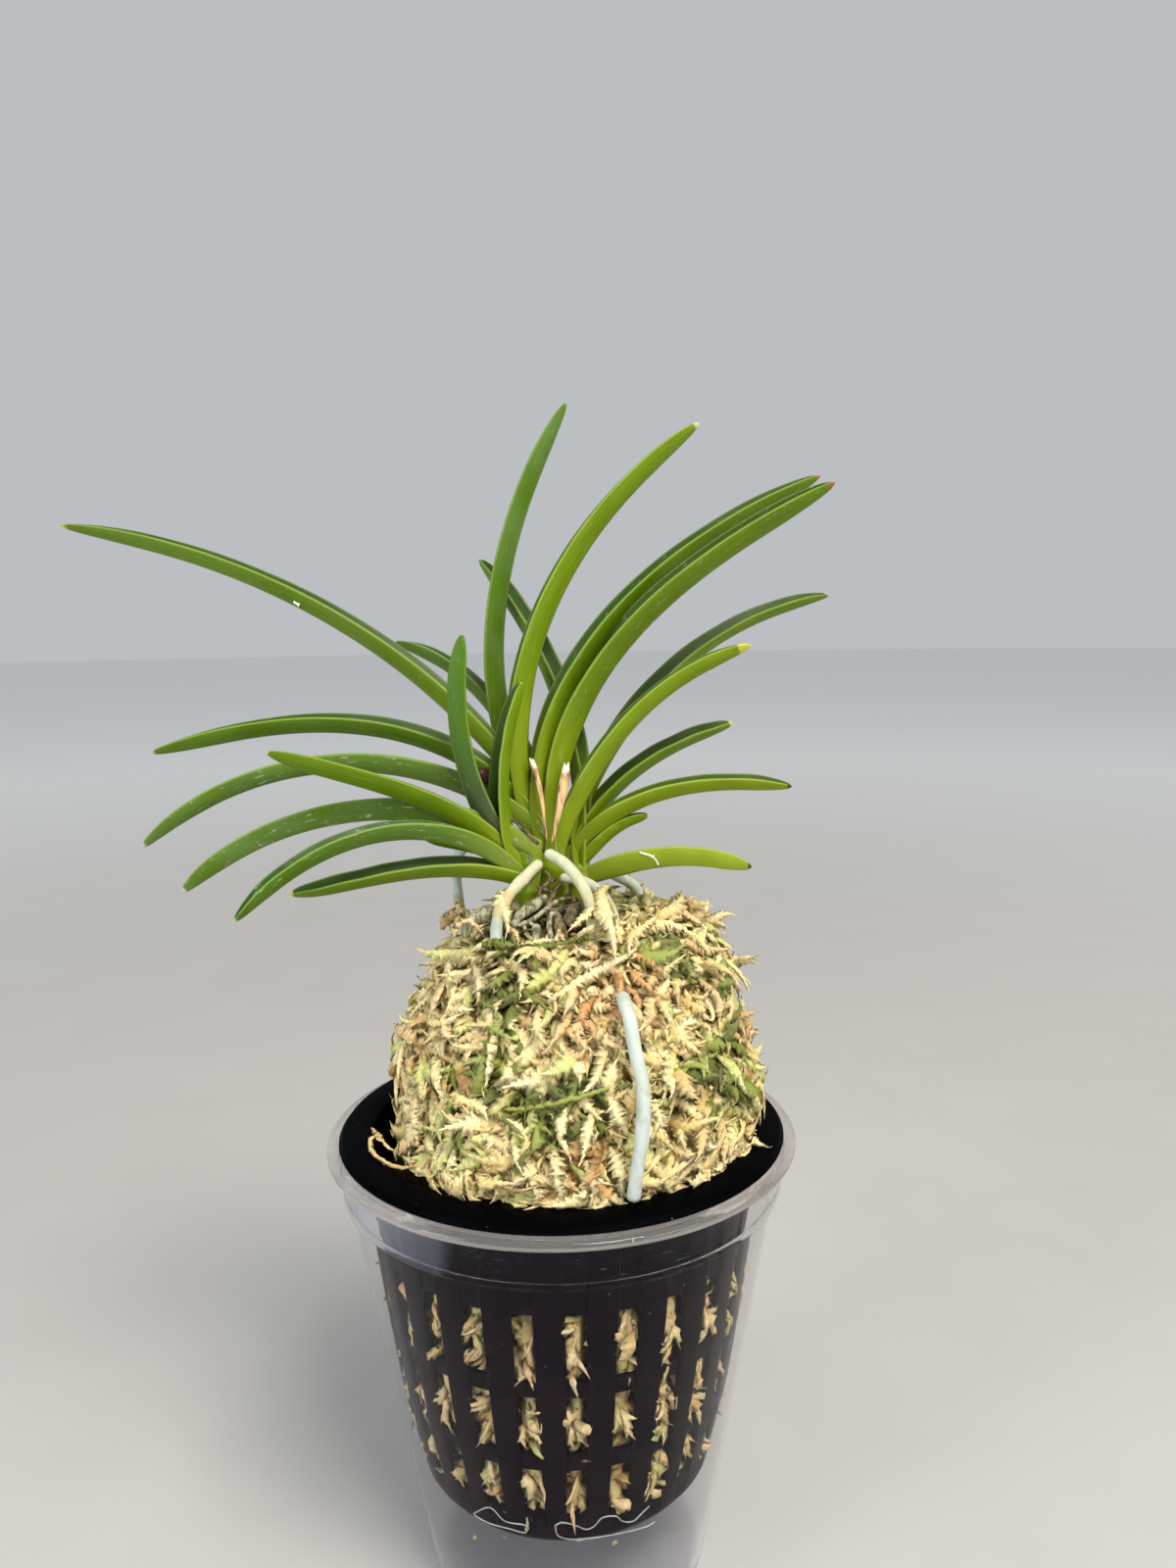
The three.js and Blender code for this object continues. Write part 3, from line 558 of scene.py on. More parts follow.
def sphagnum(name, loose, live=0.12, shade=0.0, shade_tone=(0.04, 0.034, 0.016)):
    """Dried sphagnum: cream and straw, with live green, rusty and grey strands. Each strand has its own tint.
    Strands are painted darker at their rooted foot and where their scales overlap, as painted shade, and shade
    mixes in more painted shade. The packed bed is painted dark as the shade between strands, near black by the
    flange.
    """
    finish = Finish(name)
    place = finish.place()
    fine = finish.noise(place, 1700, 3, 0.65)
    cloud = finish.noise(place, 90, 3, 0.6)
    green_near = finish.attribute("green_near")
    rusty_near = finish.attribute("rusty_near")
    tint = finish.attribute("tint") if loose else finish.noise(place, 420, 2).ease(0.3, 0.7)
    second = (tint * 53.1).fraction()
    third = (tint * 91.7).fraction()
    straw = finish.mix(second, (0.74, 0.53, 0.19), (1, 0.87, 0.47))
    straw = finish.mix(third.ease(0.76, 0.8), straw, (0.64, 0.68, 0.23))
    straw = finish.mix((1 - third).ease(0.86, 0.9), straw, (0.82, 0.56, 0.27))
    straw = finish.mix(cloud.ease(0.58, 0.72) * 0.5, straw, (0.42, 0.37, 0.25))
    leafy = finish.mix(second, (0.03, 0.085, 0.006), (0.28, 0.37, 0.065))
    rusty = finish.mix(second, (0.46, 0.2, 0.055), (0.8, 0.46, 0.18))
    green = (live * cloud.ease(0.45, 0.65) + 0.62 * green_near - tint).ease(-0.04, 0.04)
    rust = (0.025 + 0.5 * rusty_near - (1 - tint)).ease(-0.03, 0.03)
    colour = finish.mix(green, straw, leafy)
    colour = finish.mix(rust, colour, rusty)
    if loose:
        run = finish.attribute("run")
        edge = abs(finish.attribute("edge"))
        scale = (run * 19 + edge * 1.2 + 1.6 * fine).fraction()
        pale = (run.ease(0.2, 1) * 0.25 + edge.ease(0.5, 1) * 0.25) * (1 - 0.6 * green)
        colour = finish.mix(pale, colour, (1, 0.92, 0.6))
        # Painted shade: each strand is darker at its rooted foot.
        colour = finish.mix((1 - run.ease(0, 0.35)) * 0.4, colour, (0.2, 0.13, 0.035))
        # Painted shade in the creases where the scales overlap: darker towards the end of each scale.
        colour = finish.mix(scale.ease(0.45, 1) * 0.22, colour, (0.34, 0.25, 0.07))
        colour = finish.mix(shade, colour, shade_tone)
        height = 0.25 * scale + fine
    else:
        window = finish.attribute("window")
        # Painted shade: the packed bed is dark brown between the strands, less so in the pot's slots.
        colour = finish.mix(0.9 - 0.6 * window, colour, (0.055, 0.033, 0.01))
        height = finish.node("ShaderNodeSeparateXYZ", None, {"Vector": place}, "Z")
        # Painted shade: near black low on the heap by the flange, under the moss's foot.
        unlit = (1 - height.ease(0.0765, 0.079)) * (1 - window)
        colour = finish.mix(unlit, colour, (0.004, 0.003, 0.0015))
        height = fine + finish.noise(place, 700, 2)
    colour = finish.mix((1 - fine.ease(0.3, 0.65)) * 0.45, colour, (0.3, 0.19, 0.06))
    relief = finish.bump(height, 0.55, 0.0003)
    return finish.close(finish.shader(Base_Color=colour, Roughness=0.95, Specular_IOR_Level=0.2, Normal=relief))


def store(mesh, **layers):
    """Keeps one number for each point of the mesh under each name."""
    for name, values in layers.items():
        mesh.attributes.new(name, "FLOAT", "POINT").data.foreach_set("value", np.asarray(values, float))


bed_points, bed_faces, bed_masks = packed_bed()
bed = add_piece("moss_bed", bed_points, bed_faces, sphagnum("packed_sphagnum", False), "moss", "moss_mound")
store(
    bed.data, green_near=nearness(bed_points, GREEN_PATCHES), rusty_near=nearness(bed_points, RUSTY_PATCHES),
    **bed_masks,
)

# ---------------------------------------------------------------- sphagnum: loose strands
# Single strands of the moss lie all over the mound and show in the pot's slots. Each is a flat, narrow spindle
# with the tips of its scales standing out on both sides like saw teeth; some are plain curled ribbons.


def strand(spine, width, thickness, tooth, twist, rng, facing=(0, 0, 1.0)):
    """Points and faces of a strand along a spine, with how far along it and across it each point is."""
    spine = np.asarray(spine, float)
    count = len(spine)
    share = np.linspace(0, 1, count)
    ahead = np.gradient(spine, axis=0)
    ahead /= np.linalg.norm(ahead, axis=1)[:, None]
    side = np.cross(facing, ahead)
    side /= np.maximum(np.linalg.norm(side, axis=1), 1e-6)[:, None]
    up = np.cross(ahead, side)
    roll = (twist * (share - 0.5))[:, None]
    side, up = side * np.cos(roll) + up * np.sin(roll), up * np.cos(roll) - side * np.sin(roll)
    pace = np.linalg.norm(np.diff(spine, axis=0), axis=1).mean()
    half = width / 2 * (0.3 + 0.7 * np.sin(np.pi * np.minimum(share / 0.9, 1) ** 0.7)) * (1 - 0.9 * share ** 5)
    half *= 1 + np.interp(share * 6, range(7), rng.uniform(-0.3, 0.25, 7))
    points, edge = [], []
    for i, middle in enumerate(spine):
        points.append(middle + up[i] * half[i] * thickness * rng.uniform(0.8, 1.2))
        for across in (-1, 1):
            out = (i % 2 == 0) == (across > 0)
            reach = half[i] * (1 + (tooth if out else -tooth) * rng.uniform(0.1, 1.7))
            barb = pace * (rng.uniform(0.4, 1.8) if out and tooth else 0)
            points.append(middle + side[i] * across * reach + ahead[i] * barb - up[i] * half[i] * 0.25)
        edge += [0, -1, 1]
    return points, closed_grid(count, 3), np.repeat(share, 3), edge


def strand_mesh(name, shape):
    """A mesh for scattering, with the layers that the moss's finish reads."""
    points, faces, run, edge = shape
    mesh = bpy.data.meshes.new(name)
    mesh.from_pydata(np.asarray(points) * MM, [], faces)
    mesh.shade_smooth()
    store(mesh, run=run, edge=edge)
    return mesh


def bent_spine(length, rise, fall, sway, curl, stations):
    """A spine from the origin along +X that rises off the surface, falls back to it, and curls to one side."""
    share = np.linspace(0, 1, stations - 1)
    climb = rise + (fall - rise) * share
    aside = sway * np.sin(4 * share) + curl * share ** 2
    steps = np.stack([np.cos(climb) * np.cos(aside), np.cos(climb) * np.sin(aside), np.sin(climb)], axis=-1)
    return np.vstack([np.zeros(3), np.cumsum(steps, axis=0) * length / (stations - 1)]) - [0, 0, 0.25]


def strand_kinds(collection, seed, lengths, widths, stations, plain_share):
    """A collection of strands for scattering, each bent its own way; plain_share of them have no teeth."""
    rng = np.random.default_rng(seed)
    kinds = bpy.data.collections.new(collection)
    bpy.context.scene.collection.children.link(kinds)
    for i in range(16):
        spine = bent_spine(
            rng.uniform(*lengths), rng.uniform(0.1, 0.7), rng.uniform(-0.8, 0.0), rng.uniform(-0.7, 0.7),
            rng.choice([-1.5, -0.6, 0, 0.6, 1.5]), stations,
        )
        plain = rng.uniform() < plain_share
        width = rng.uniform(*widths) * (0.6 if plain else 1)
        tooth = 0 if plain else rng.uniform(0.14, 0.34)
        shape = strand(spine, width, rng.uniform(0.35, 0.7), tooth, rng.uniform(-1.6, 1.6), rng)
        mesh = strand_mesh(f"{collection}_{i}", shape)
        kinds.objects.link(bpy.data.objects.new(mesh.name, mesh))
    return kinds


def scatter_tree():
    """Nodes that scatter strands over a bed where a mask allows them, at an angle to the way up the slope."""
    tree = bpy.data.node_groups.new("strand_scatter", "GeometryNodeTree")
    sockets = {}
    for name, kind in (
        ("Geometry", "Geometry"), ("Strands", "Collection"), ("Finish", "Material"), ("Mask", "String"),
        ("Density", "Float"), ("Smallest", "Float"), ("Largest", "Float"), ("Least lift", "Float"),
        ("Most lift", "Float"), ("Heading", "Float"), ("Spread", "Float"), ("Swirl", "Float"), ("Seed", "Int"),
    ):
        socket = tree.interface.new_socket(name, in_out="INPUT", socket_type=f"NodeSocket{kind}")
        sockets[name] = socket.identifier
    tree.interface.new_socket("Geometry", in_out="OUTPUT", socket_type="NodeSocketGeometry")

    def node(kind, settings=None, **inputs):
        made = tree.nodes.new(kind)
        for name, setting in (settings or {}).items():
            setattr(made, name, setting)
        for name, value in inputs.items():
            target = made.inputs[int(name[1:])] if name[0] == "_" else made.inputs[name.replace("_", " ")]
            if isinstance(value, bpy.types.NodeSocket):
                tree.links.new(value, target)
            else:
                target.default_value = value
        return made

    given = node("NodeGroupInput").outputs

    def between(low, high, seed_shift):
        seed = node("ShaderNodeMath", {"operation": "ADD"}, _0=given["Seed"], _1=float(seed_shift)).outputs[0]
        drawn = node("FunctionNodeRandomValue", {"data_type": "FLOAT"}, _2=low, _3=high, Seed=seed)
        return drawn.outputs[1]

    def clump(scale, shift):
        """A cloud over the bed, 0 to 1, that neighbouring strands share."""
        place = node("GeometryNodeInputPosition").outputs[0]
        moved = node("ShaderNodeVectorMath", {"operation": "ADD"}, _0=place, _1=(shift, 0, 0)).outputs[0]
        cloud = node("ShaderNodeTexNoise", None, Vector=moved, Scale=scale, Detail=1.0).outputs[0]
        return node("ShaderNodeMapRange", None, _0=cloud, _1=0.28, _2=0.72).outputs[0]

    def sum_of(first, second, operation="ADD"):
        return node("ShaderNodeMath", {"operation": operation}, _0=first, _1=second).outputs[0]

    mask = node("GeometryNodeInputNamedAttribute", {"data_type": "FLOAT"}, Name=given["Mask"])
    mask = mask.outputs["Attribute"]
    density = sum_of(given["Density"], mask, "MULTIPLY")
    spots = node(
        "GeometryNodeDistributePointsOnFaces", None, Mesh=given["Geometry"], Density=density, Seed=given["Seed"],
    )
    uphill = node(
        "FunctionNodeAlignRotationToVector", {"axis": "X", "pivot_axis": "Z"},
        Rotation=spots.outputs["Rotation"], Vector=(0, 0, 1),
    ).outputs[0]
    least = sum_of(given["Heading"], given["Spread"], "SUBTRACT")
    most = sum_of(given["Heading"], given["Spread"])
    lift = sum_of(between(given["Least lift"], given["Most lift"], 1), -1.0, "MULTIPLY")
    swirl = sum_of(sum_of(clump(150.0, 1), 0.5, "SUBTRACT"), given["Swirl"], "MULTIPLY")
    heading = node("ShaderNodeCombineXYZ", None, Z=sum_of(between(least, most, 3), swirl)).outputs[0]
    headed = node(
        "FunctionNodeRotateRotation", {"rotation_space": "LOCAL"}, Rotation=uphill, Rotate_By=heading,
    ).outputs[0]
    lean = node("ShaderNodeCombineXYZ", None, X=between(-0.6, 0.6, 2), Y=lift).outputs[0]
    turned = node(
        "FunctionNodeRotateRotation", {"rotation_space": "LOCAL"}, Rotation=headed, Rotate_By=lean,
    ).outputs[0]
    kinds = node(
        "GeometryNodeCollectionInfo", None, Collection=given["Strands"], Separate_Children=True,
        Reset_Children=True,
    ).outputs[0]
    strands = node(
        "GeometryNodeInstanceOnPoints", None, Points=spots.outputs["Points"], Instance=kinds, Pick_Instance=True,
        Rotation=turned, Scale=between(given["Smallest"], given["Largest"], 4),
    ).outputs[0]
    tint = sum_of(sum_of(clump(210.0, 5), 0.45, "MULTIPLY"), between(0.0, 0.55, 5))
    tinted = node(
        "GeometryNodeStoreNamedAttribute", {"data_type": "FLOAT", "domain": "INSTANCE"},
        Geometry=strands, Name="tint", Value=tint,
    ).outputs[0]
    whole = node("GeometryNodeRealizeInstances", None, Geometry=tinted).outputs[0]
    done = node("GeometryNodeSetMaterial", None, Geometry=whole, Material=given["Finish"]).outputs[0]
    node("NodeGroupOutput", None, Geometry=done)
    return tree, sockets


strand_scatter, scatter_sockets = scatter_tree()


def scattered(name, ground, keep_clear, **inputs):
    """One piece of strands on the ground. keep_clear moves the points that would reach into the plastic."""
    grower = bpy.data.objects.new(name, ground.data.copy())
    bpy.context.scene.collection.objects.link(grower)
    modifier = grower.modifiers.new("scatter", "NODES")
    modifier.node_group = strand_scatter
    for label, value in inputs.items():
        modifier[scatter_sockets[label.replace("_", " ")]] = value
    grown = bpy.data.meshes.new_from_object(grower.evaluated_get(bpy.context.evaluated_depsgraph_get()))
    grower.modifiers.clear()
    grower.data = grown
    points = np.empty(len(grown.vertices) * 3)
    grown.vertices.foreach_get("co", points)
    points = keep_clear(points.reshape(-1, 3) / MM)
    grown.vertices.foreach_set("co", (points * MM).ravel())
    for patch in ("green_near", "rusty_near"):
        if patch in grown.attributes:
            grown.attributes.remove(grown.attributes[patch])
    store(grown, green_near=nearness(points, GREEN_PATCHES), rusty_near=nearness(points, RUSTY_PATCHES))
    grown.materials.clear()
    grown.materials.append(inputs["Finish"])
    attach(grower, "root")
    return grower


def above_flange(points):
    """Points that would sink into the flange lie on it instead, near the foot of the heap."""
    low = FLANGE_TOP + 0.15
    z = points[:, 2]
    points[:, 2] = np.where(z < low, low + 0.25 * (low - z), z)
    return drawn_in(points, 28.9 + 0.12 * np.clip(z - 79, 0, 20))


def through_slots(points):
    """Points in the thickness of the pot's wall move to its nearer face, unless they are in a slot."""
    reach = np.hypot(points[:, 0], points[:, 1])
    turn = np.arctan2(points[:, 1], points[:, 0])
    off = off_slot(turn) * reach
    outer = pot_radius(points[:, 2]) + 0.08
    inner = outer - POT_WALL - 0.2
    open_here = np.zeros(len(points), bool)
    for high, low in SLOT_ROWS:
        open_here |= (points[:, 2] > low + 0.1) & (points[:, 2] < high - 0.1)
    open_here &= off < SLOT_WIDTH / 2 - 0.1
    proud = (reach > (outer + inner) / 2) & (off < SLOT_WIDTH / 2 + 0.6)
    kept = np.where(proud, np.maximum(reach, outer), np.minimum(reach, inner))
    kept = np.minimum(np.where(open_here, reach, kept), outer + 1.3)
    points[:, :2] *= (kept / reach)[:, None]
    return points


loose_moss = sphagnum("loose_sphagnum", True)
slot_moss = sphagnum("slot_sphagnum", True, 0.01, 0.3, (0.24, 0.07, 0.035))
frizz = strand_kinds("frizz", 20, (1.8, 3.6), (0.8, 1.6), 6, 0.1)
tufts = strand_kinds("tufts", 35, (3.5, 6), (1.8, 2.9), 15, 0.12)
strands = strand_kinds("strands", 50, (6, 10), (2.3, 3.5), 19, 0.12)
fibres = strand_kinds("fibres", 80, (5, 8.5), (0.3, 0.5), 9, 1)
packing = strand_kinds("packing", 95, (4, 7.5), (1.3, 2.5), 9, 0.3)
for name, kinds, density, smallest, largest, least_lift, most_lift, spread, seed in (
    ("moss_frizz", frizz, 640000.0, 0.75, 1.3, -0.1, 0.7, 1.6, 3),
    ("moss_tufts", tufts, 300000.0, 0.8, 1.35, -0.15, 0.6, 1.3, 7),
    ("moss_strands", strands, 165000.0, 0.75, 1.25, -0.15, 0.4, 1.2, 11),
    ("moss_fibres", fibres, 20000.0, 0.6, 1.2, 0.0, 0.3, 1.6, 17),
):
    scattered(
        name, bed, above_flange, Strands=kinds, Finish=loose_moss, Mask="cover", Density=density,
        Smallest=smallest, Largest=largest, Least_lift=least_lift, Most_lift=most_lift, Heading=math.pi,
        Spread=spread, Swirl=5.0, Seed=seed,
    )
scattered(
    "moss_in_slots", bed, through_slots, Strands=packing, Finish=slot_moss, Mask="window", Density=700000.0,
    Smallest=0.6, Largest=1.1, Least_lift=-0.15, Most_lift=0.1, Heading=math.pi, Spread=0.9, Swirl=2.0, Seed=5,
)

# ---------------------------------------------------------------- sphagnum: the big strands on top
# The longest strands lie on the outside of the heap, where they were pressed on last. Each is laid from
# its rooted end to its tip, over the mound's own surface.

# Tint, green and rust of the hues.
HUES = {
    "cream": (0.52, 0, 0), "pale": (0.5645, 0, 0), "tan": (0.4915, 0, 0), "green": (0.306, 1, 0),
    "lime": (0.3, 1, 0), "rust": (0.8, 0, 1),
}
# Hue, width, tooth, how far the tip stands off, and (angle in degrees, ring) of the points on the mound.
BIG_STRANDS = [
    ("tan", 2.2, 0.3, 1.6, (-148, 5), (-161, 5), (-174, 4.9)),
    ("pale", 1.8, 0.2, 0.6, (-118, 6.1), (-116, 5.3), (-116, 4.3)),
    ("cream", 2.0, 0.3, 0, (-154, 5.6), (-141, 6), (-131, 6.6)),
    ("tan", 1.6, 0, 0.6, (-92, 7), (-95, 6.4), (-99, 5.7)),
    ("rust", 2.0, 0.25, 0.4, (-84, 7.4), (-88, 6.9), (-84, 6.4), (-88, 5.9)),
    ("lime", 0.9, 0.1, 0, (-121, 3.5), (-106, 3.7), (-93, 4.1), (-74, 4.6), (-55, 4.5)),
    ("pale", 1.7, 0.15, 0.8, (-91, 3.9), (-93, 3.1), (-90, 2.2)),
    ("pale", 1.7, 0.15, 0.8, (-84, 3.7), (-86, 2.8), (-88, 1.9)),
    ("pale", 2.4, 0.35, 0.6, (-95, 2.5), (-93, 1.5), (-89, 0.2)),
    ("cream", 2.0, 0.35, 0.6, (-115, 1.4), (-112, 0.6), (-114, 0)),
    ("cream", 2.1, 0.35, 0.6, (-101, 1.5), (-97, 0.7), (-97, 0)),
    ("tan", 0.8, 0, 0.3, (-116, 1.2), (-104, 0.9), (-94, 1.3)),
    ("pale", 2.1, 0.2, 0.2, (-103, 7.2), (-90, 8.1), (-75, 8.8), (-57, 9.4)),
    ("tan", 2.3, 0.15, 0.4, (-33, 7.3), (-31, 6.5), (-35, 5.4)),
    ("tan", 2.0, 0.15, 1.2, (-35, 4.2), (-29, 4.9), (-24, 5.8), (-21, 6.6)),
    ("cream", 2.8, 0.4, 1.2, (-44, 10.6), (-34, 9.9), (-30, 9)),
    ("tan", 2.8, 0.4, 1.4, (-20, 10.8), (-14, 10), (-20, 9.2)),
    ("tan", 2.4, 0.35, 1.4, (-38, 9.2), (-24, 8.4), (-12, 8)),
    ("cream", 2.3, 0.4, 1.0, (-66, 9.5), (-48, 10.2), (-30, 10.6)),
    ("rust", 1.9, 0.25, 0.4, (-71, 8.4), (-65, 7.8), (-58, 7.1)),
    ("rust", 1.8, 0.25, 0.4, (-78, 8.5), (-74, 7.8), (-78, 7.2)),
    ("rust", 1.8, 0.3, 0.4, (-68, 9), (-59, 8.5), (-55, 7.8)),
    ("rust", 1.7, 0.2, 0.4, (-74, 8), (-68, 7.2), (-71, 6.6)),
    ("tan", 2.2, 0.25, 0.6, (-87, 7), (-89, 6.3), (-84, 5.7)),
    ("tan", 2.2, 0.3, 1.8, (-20, 4.9), (-14, 4.2), (-12, 3.3)),
    ("cream", 2.0, 0.1, 1.0, (-48, 0.2), (-36, 0.7), (-27, 0.6), (-28, 0.1), (-40, 0.2)),
    ("pale", 1.2, 0, 3.0, (-33, 0.4), (-27, 0.3), (-22, 0.3)),
    ("cream", 2.2, 0.3, 0.2, (-68, 0.4), (-58, 0.3), (-51, 1), (-46, 1.6)),
    ("pale", 2.2, 0.3, 0.4, (-79, 4.3), (-77, 3.6), (-74, 2.8)),
    ("cream", 2.2, 0.35, 0.4, (-142, 4.7), (-135, 4.2), (-129, 3.5)),
    ("cream", 2.2, 0.35, 0.6, (-146, 3.3), (-142, 2.5), (-138, 1.6)),
    ("green", 1.6, 0.4, 0.2, (-113, 5.1), (-120, 4.8), (-128, 4.5)),
    ("green", 1.6, 0.4, 0.2, (-117, 7.7), (-106, 7.5), (-98, 7)),
    ("cream", 2.1, 0.3, 0.6, (-144, 8), (-133, 7.7), (-126, 7)),
    ("cream", 2.1, 0.3, 0.4, (-125, 8.5), (-114, 8.2), (-111, 7.4)),
    ("pale", 2.0, 0.3, 0.4, (-56, 5.6), (-49, 6.1), (-43, 6)),
    ("cream", 2.2, 0.35, 0.4, (-69, 4.2), (-65, 3.4), (-68, 2.6)),
    ("cream", 2.0, 0.3, 0.4, (-57, 3.6), (-51, 2.8), (-47, 2)),
    ("pale", 2.0, 0.35, 0.6, (-126, 1.9), (-123, 1), (-119, 0)),
    ("cream", 2.2, 0.35, 0.6, (-86, 2), (-83, 1.1), (-82, 0)),
    ("pale", 2.1, 0.3, 0.6, (-79, 2.4), (-76, 1.5), (-73, 0)),
]


def smooth_line(knots, count):
    """Points spaced along a smooth curve through the knots."""
    knots = np.array(knots, float)
    knots = np.vstack([2 * knots[0] - knots[1], knots, 2 * knots[-1] - knots[-2]])
    fine = []
    for a, b, c, d in zip(knots, knots[1:], knots[2:], knots[3:]):
        for t in np.linspace(0, 1, 24, endpoint=False):
            fine.append(0.5 * (2 * b + (c - a) * t + (2 * a - 5 * b + 4 * c - d) * t ** 2
                               + (3 * b - a - 3 * c + d) * t ** 3))
    fine = np.array([*fine, knots[-2]])
    walked = np.concatenate([[0], np.cumsum(np.linalg.norm(np.diff(fine, axis=0), axis=1))])
    stations = np.linspace(0, walked[-1], count)
    return np.stack([np.interp(stations, walked, fine[:, axis]) for axis in range(3)], axis=-1)


def shifted(faces, start):
    """The faces of a part whose points come after others in the same mesh."""
    return [tuple(index + start for index in face) for face in faces]


def laid_strands(name, routes, keep_clear=above_flange):
    """Strands of given hue, width, tooth, spine and facing in one piece, with the layers of their finish."""
    points, faces = [], []
    layers = {"run": [], "edge": [], "tint": [], "green_near": [], "rusty_near": []}
    for order, (hue, width, tooth, spine, facing) in enumerate(routes):
        rng = np.random.default_rng(200 + order)
        spine = spine + rng.normal(0, 0.07, spine.shape)
        made, made_faces, run, edge = strand(
            spine, width, rng.uniform(0.4, 0.7), 0.9 * tooth, rng.uniform(-1, 1), rng, facing,
        )
        faces += shifted(made_faces, len(points))
        points += made
        for key, values in zip(layers, (run, edge, *np.repeat([HUES[hue]], len(made), axis=0).T)):
            layers[key] += list(values)
    piece = add_piece(name, keep_clear(np.array(points)), faces, loose_moss, "moss")
    store(piece.data, **layers)


def over_the_heap(stand_off, knots):
    """A spine from its rooted end over the mound to its tip, and which way its broad side faces."""
    sinks = np.linspace(0.2, -0.5, len(knots))
    sinks[0] = 1.2
    sinks[-1] = 0.2 - stand_off
    places = [mound_point(math.radians(turn), ring, sink) for (turn, ring), sink in zip(knots, sinks)]
    span = sum((b - a).length for a, b in zip(places, places[1:]))
    spine = smooth_line(places, max(12, int(span / 0.34)))
    return spine, spine - [3, 0, 88]


laid_strands("moss_big_strands", [
    (hue, width, tooth, *over_the_heap(stand_off, knots))
    for hue, width, tooth, stand_off, *knots in BIG_STRANDS
])

# Hue, width and route of the strands that stick out over the flange.
ON_FLANGE = [("tan", 0.8, [(-21, -19, 77.4), (-24.5, -17.8, 76.9), (-27, -15.7, 77), (-28.8, -13.1, 77.2),
                           (-29.7, -10.8, 77.6), (-29.2, -10, 78), (-28, -10.6, 77.8), (-26.5, -12.2, 77.4),
                           (-24.6, -14.2, 77.2), (-22, -16, 77)]),
             ("tan", 0.9, [(-30, -7.1, 78.2), (-29.2, -8.2, 78), (-28.2, -9.8, 77.8), (-26.8, -11.6, 77.4)]),
             ("tan", 2.6, [(-21, -17, 80), (-23.6, -15.6, 79), (-25, -14.2, 77.6), (-24.8, -15.6, 76.9)]),
             ("pale", 1.5, [(28, -11, 78.4), (30, -12.1, 77.5), (31.2, -12.8, 77.1), (32.2, -13.2, 77)])]


def as_laid(points):
    """Strands that were laid clear of the plastic stay where they are."""
    return points


laid_strands("strands_on_flange", [
    (hue, width, 0.1, smooth_line(route, 30), (0, -0.6, 1)) for hue, width, route in ON_FLANGE
], as_laid)

# ---------------------------------------------------------------- leaves
# Each growth is a short stem in two ranks of leathery leaves, folded along the middle like a keel. A leaf grows
# from a clasping foot, is full in the middle and narrows to a blunt tip. The growths stand in the hollow.

GROWTHS = {
    "growth_centre": ((-1, -1, 121), (2.9, 2), 108.5, [
        dict(foot=(0, 4.5), azimuth=171, sweep=-2, length=98, slope=(60, 29, 9), width=3.1, turn=-3),
        dict(foot=(-0.5, 2), azimuth=179, sweep=1, length=69.5, slope=(65, 8, -15), width=3.1, turn=-6),
        dict(foot=(1, 1), azimuth=184, sweep=0, length=71.5, slope=(47, 1, -44), width=3, turn=8),
        dict(foot=(-3.5, 5.5), azimuth=14, sweep=6, length=73, slope=(106, 62, 34), width=3.5, turn=-8),
        dict(foot=(-2, 4.5), azimuth=5, sweep=0, length=74.5, slope=(94, 46, 24), width=3.8, turn=10),
        dict(foot=(0.5, 3.5), azimuth=-8, sweep=0, length=72, slope=(95, 46, 27), width=4.1, turn=16),
        dict(foot=(1, 1), azimuth=-2, sweep=-1, length=45.5, slope=(72, 47, 15), width=2.9, turn=4),
    ]),
    "growth_left": ((-5, -5, 118), (2, 1.7), 108, [
        dict(foot=(-1, 2), azimuth=200, sweep=0, length=42.5, slope=(54, 23, 20), width=2.9, turn=4),
        dict(foot=(2, 4.5), azimuth=187, sweep=-1, length=58, slope=(32, -5, -44), width=3.3, turn=14),
        dict(foot=(-0.5, 0), azimuth=207, sweep=-1, length=49.5, slope=(51, -4, -47), width=2.8, turn=0),
        dict(foot=(-0.5, 0.5), azimuth=190, sweep=0, length=17, slope=(59, 16, 21), width=1.9, turn=0),
        dict(foot=(0, -0.5), azimuth=196, sweep=0, length=36, slope=(26, -4, -6), width=2.8, turn=-14),
        dict(foot=(-1.5, 3), azimuth=196, sweep=0, length=36.5, slope=(53, 78, 104), width=3, turn=0),
        dict(foot=(-1.5, 1.5), azimuth=30, sweep=0, length=29.5, slope=(111, 86, 63), width=2.8, turn=0),
        dict(foot=(-0.5, -2), azimuth=200, sweep=0, length=8, slope=(127, 77, 93), width=1.4, turn=0),
    ]),
    "growth_right": ((3.5, 3, 118.5), (2.2, 1.8), 108, [
        dict(foot=(0.5, 6), azimuth=146, sweep=0, length=49, slope=(92, 64, 43), width=3.2, turn=0),
        dict(foot=(-1, 5), azimuth=22, sweep=2, length=65, slope=(72, 37, 7), width=2.8, turn=14),
        dict(foot=(-1, 2.5), azimuth=8, sweep=0, length=34, slope=(66, 35, 12), width=2.7, turn=16),
        dict(foot=(-1.5, 1.5), azimuth=-12, sweep=1, length=39, slope=(56, 15, -7), width=2.7, turn=8),
        dict(foot=(0, 0), azimuth=-6, sweep=0, length=14, slope=(51, 38, 5), width=1.8, turn=0),
        dict(foot=(0.5, -2.5), azimuth=-24, sweep=0, length=29, slope=(25, 9, -15), width=3.2, turn=-16),
    ]),
    "growth_back": ((-1.5, 7, 121), (2, 1.7), 108.5, [
        dict(foot=(0, 2), azimuth=158, sweep=0, length=44.5, slope=(78, 50, 9), width=2.7, turn=0),
        dict(foot=(0, 2.5), azimuth=4, sweep=0, length=72, slope=(126, 84, 59), width=3.4, turn=0),
    ]),
}
LEAF_ROWS, FOOT_ROWS = 82, 9
STEM_ROWS, STEM_SIDES = 36, 28
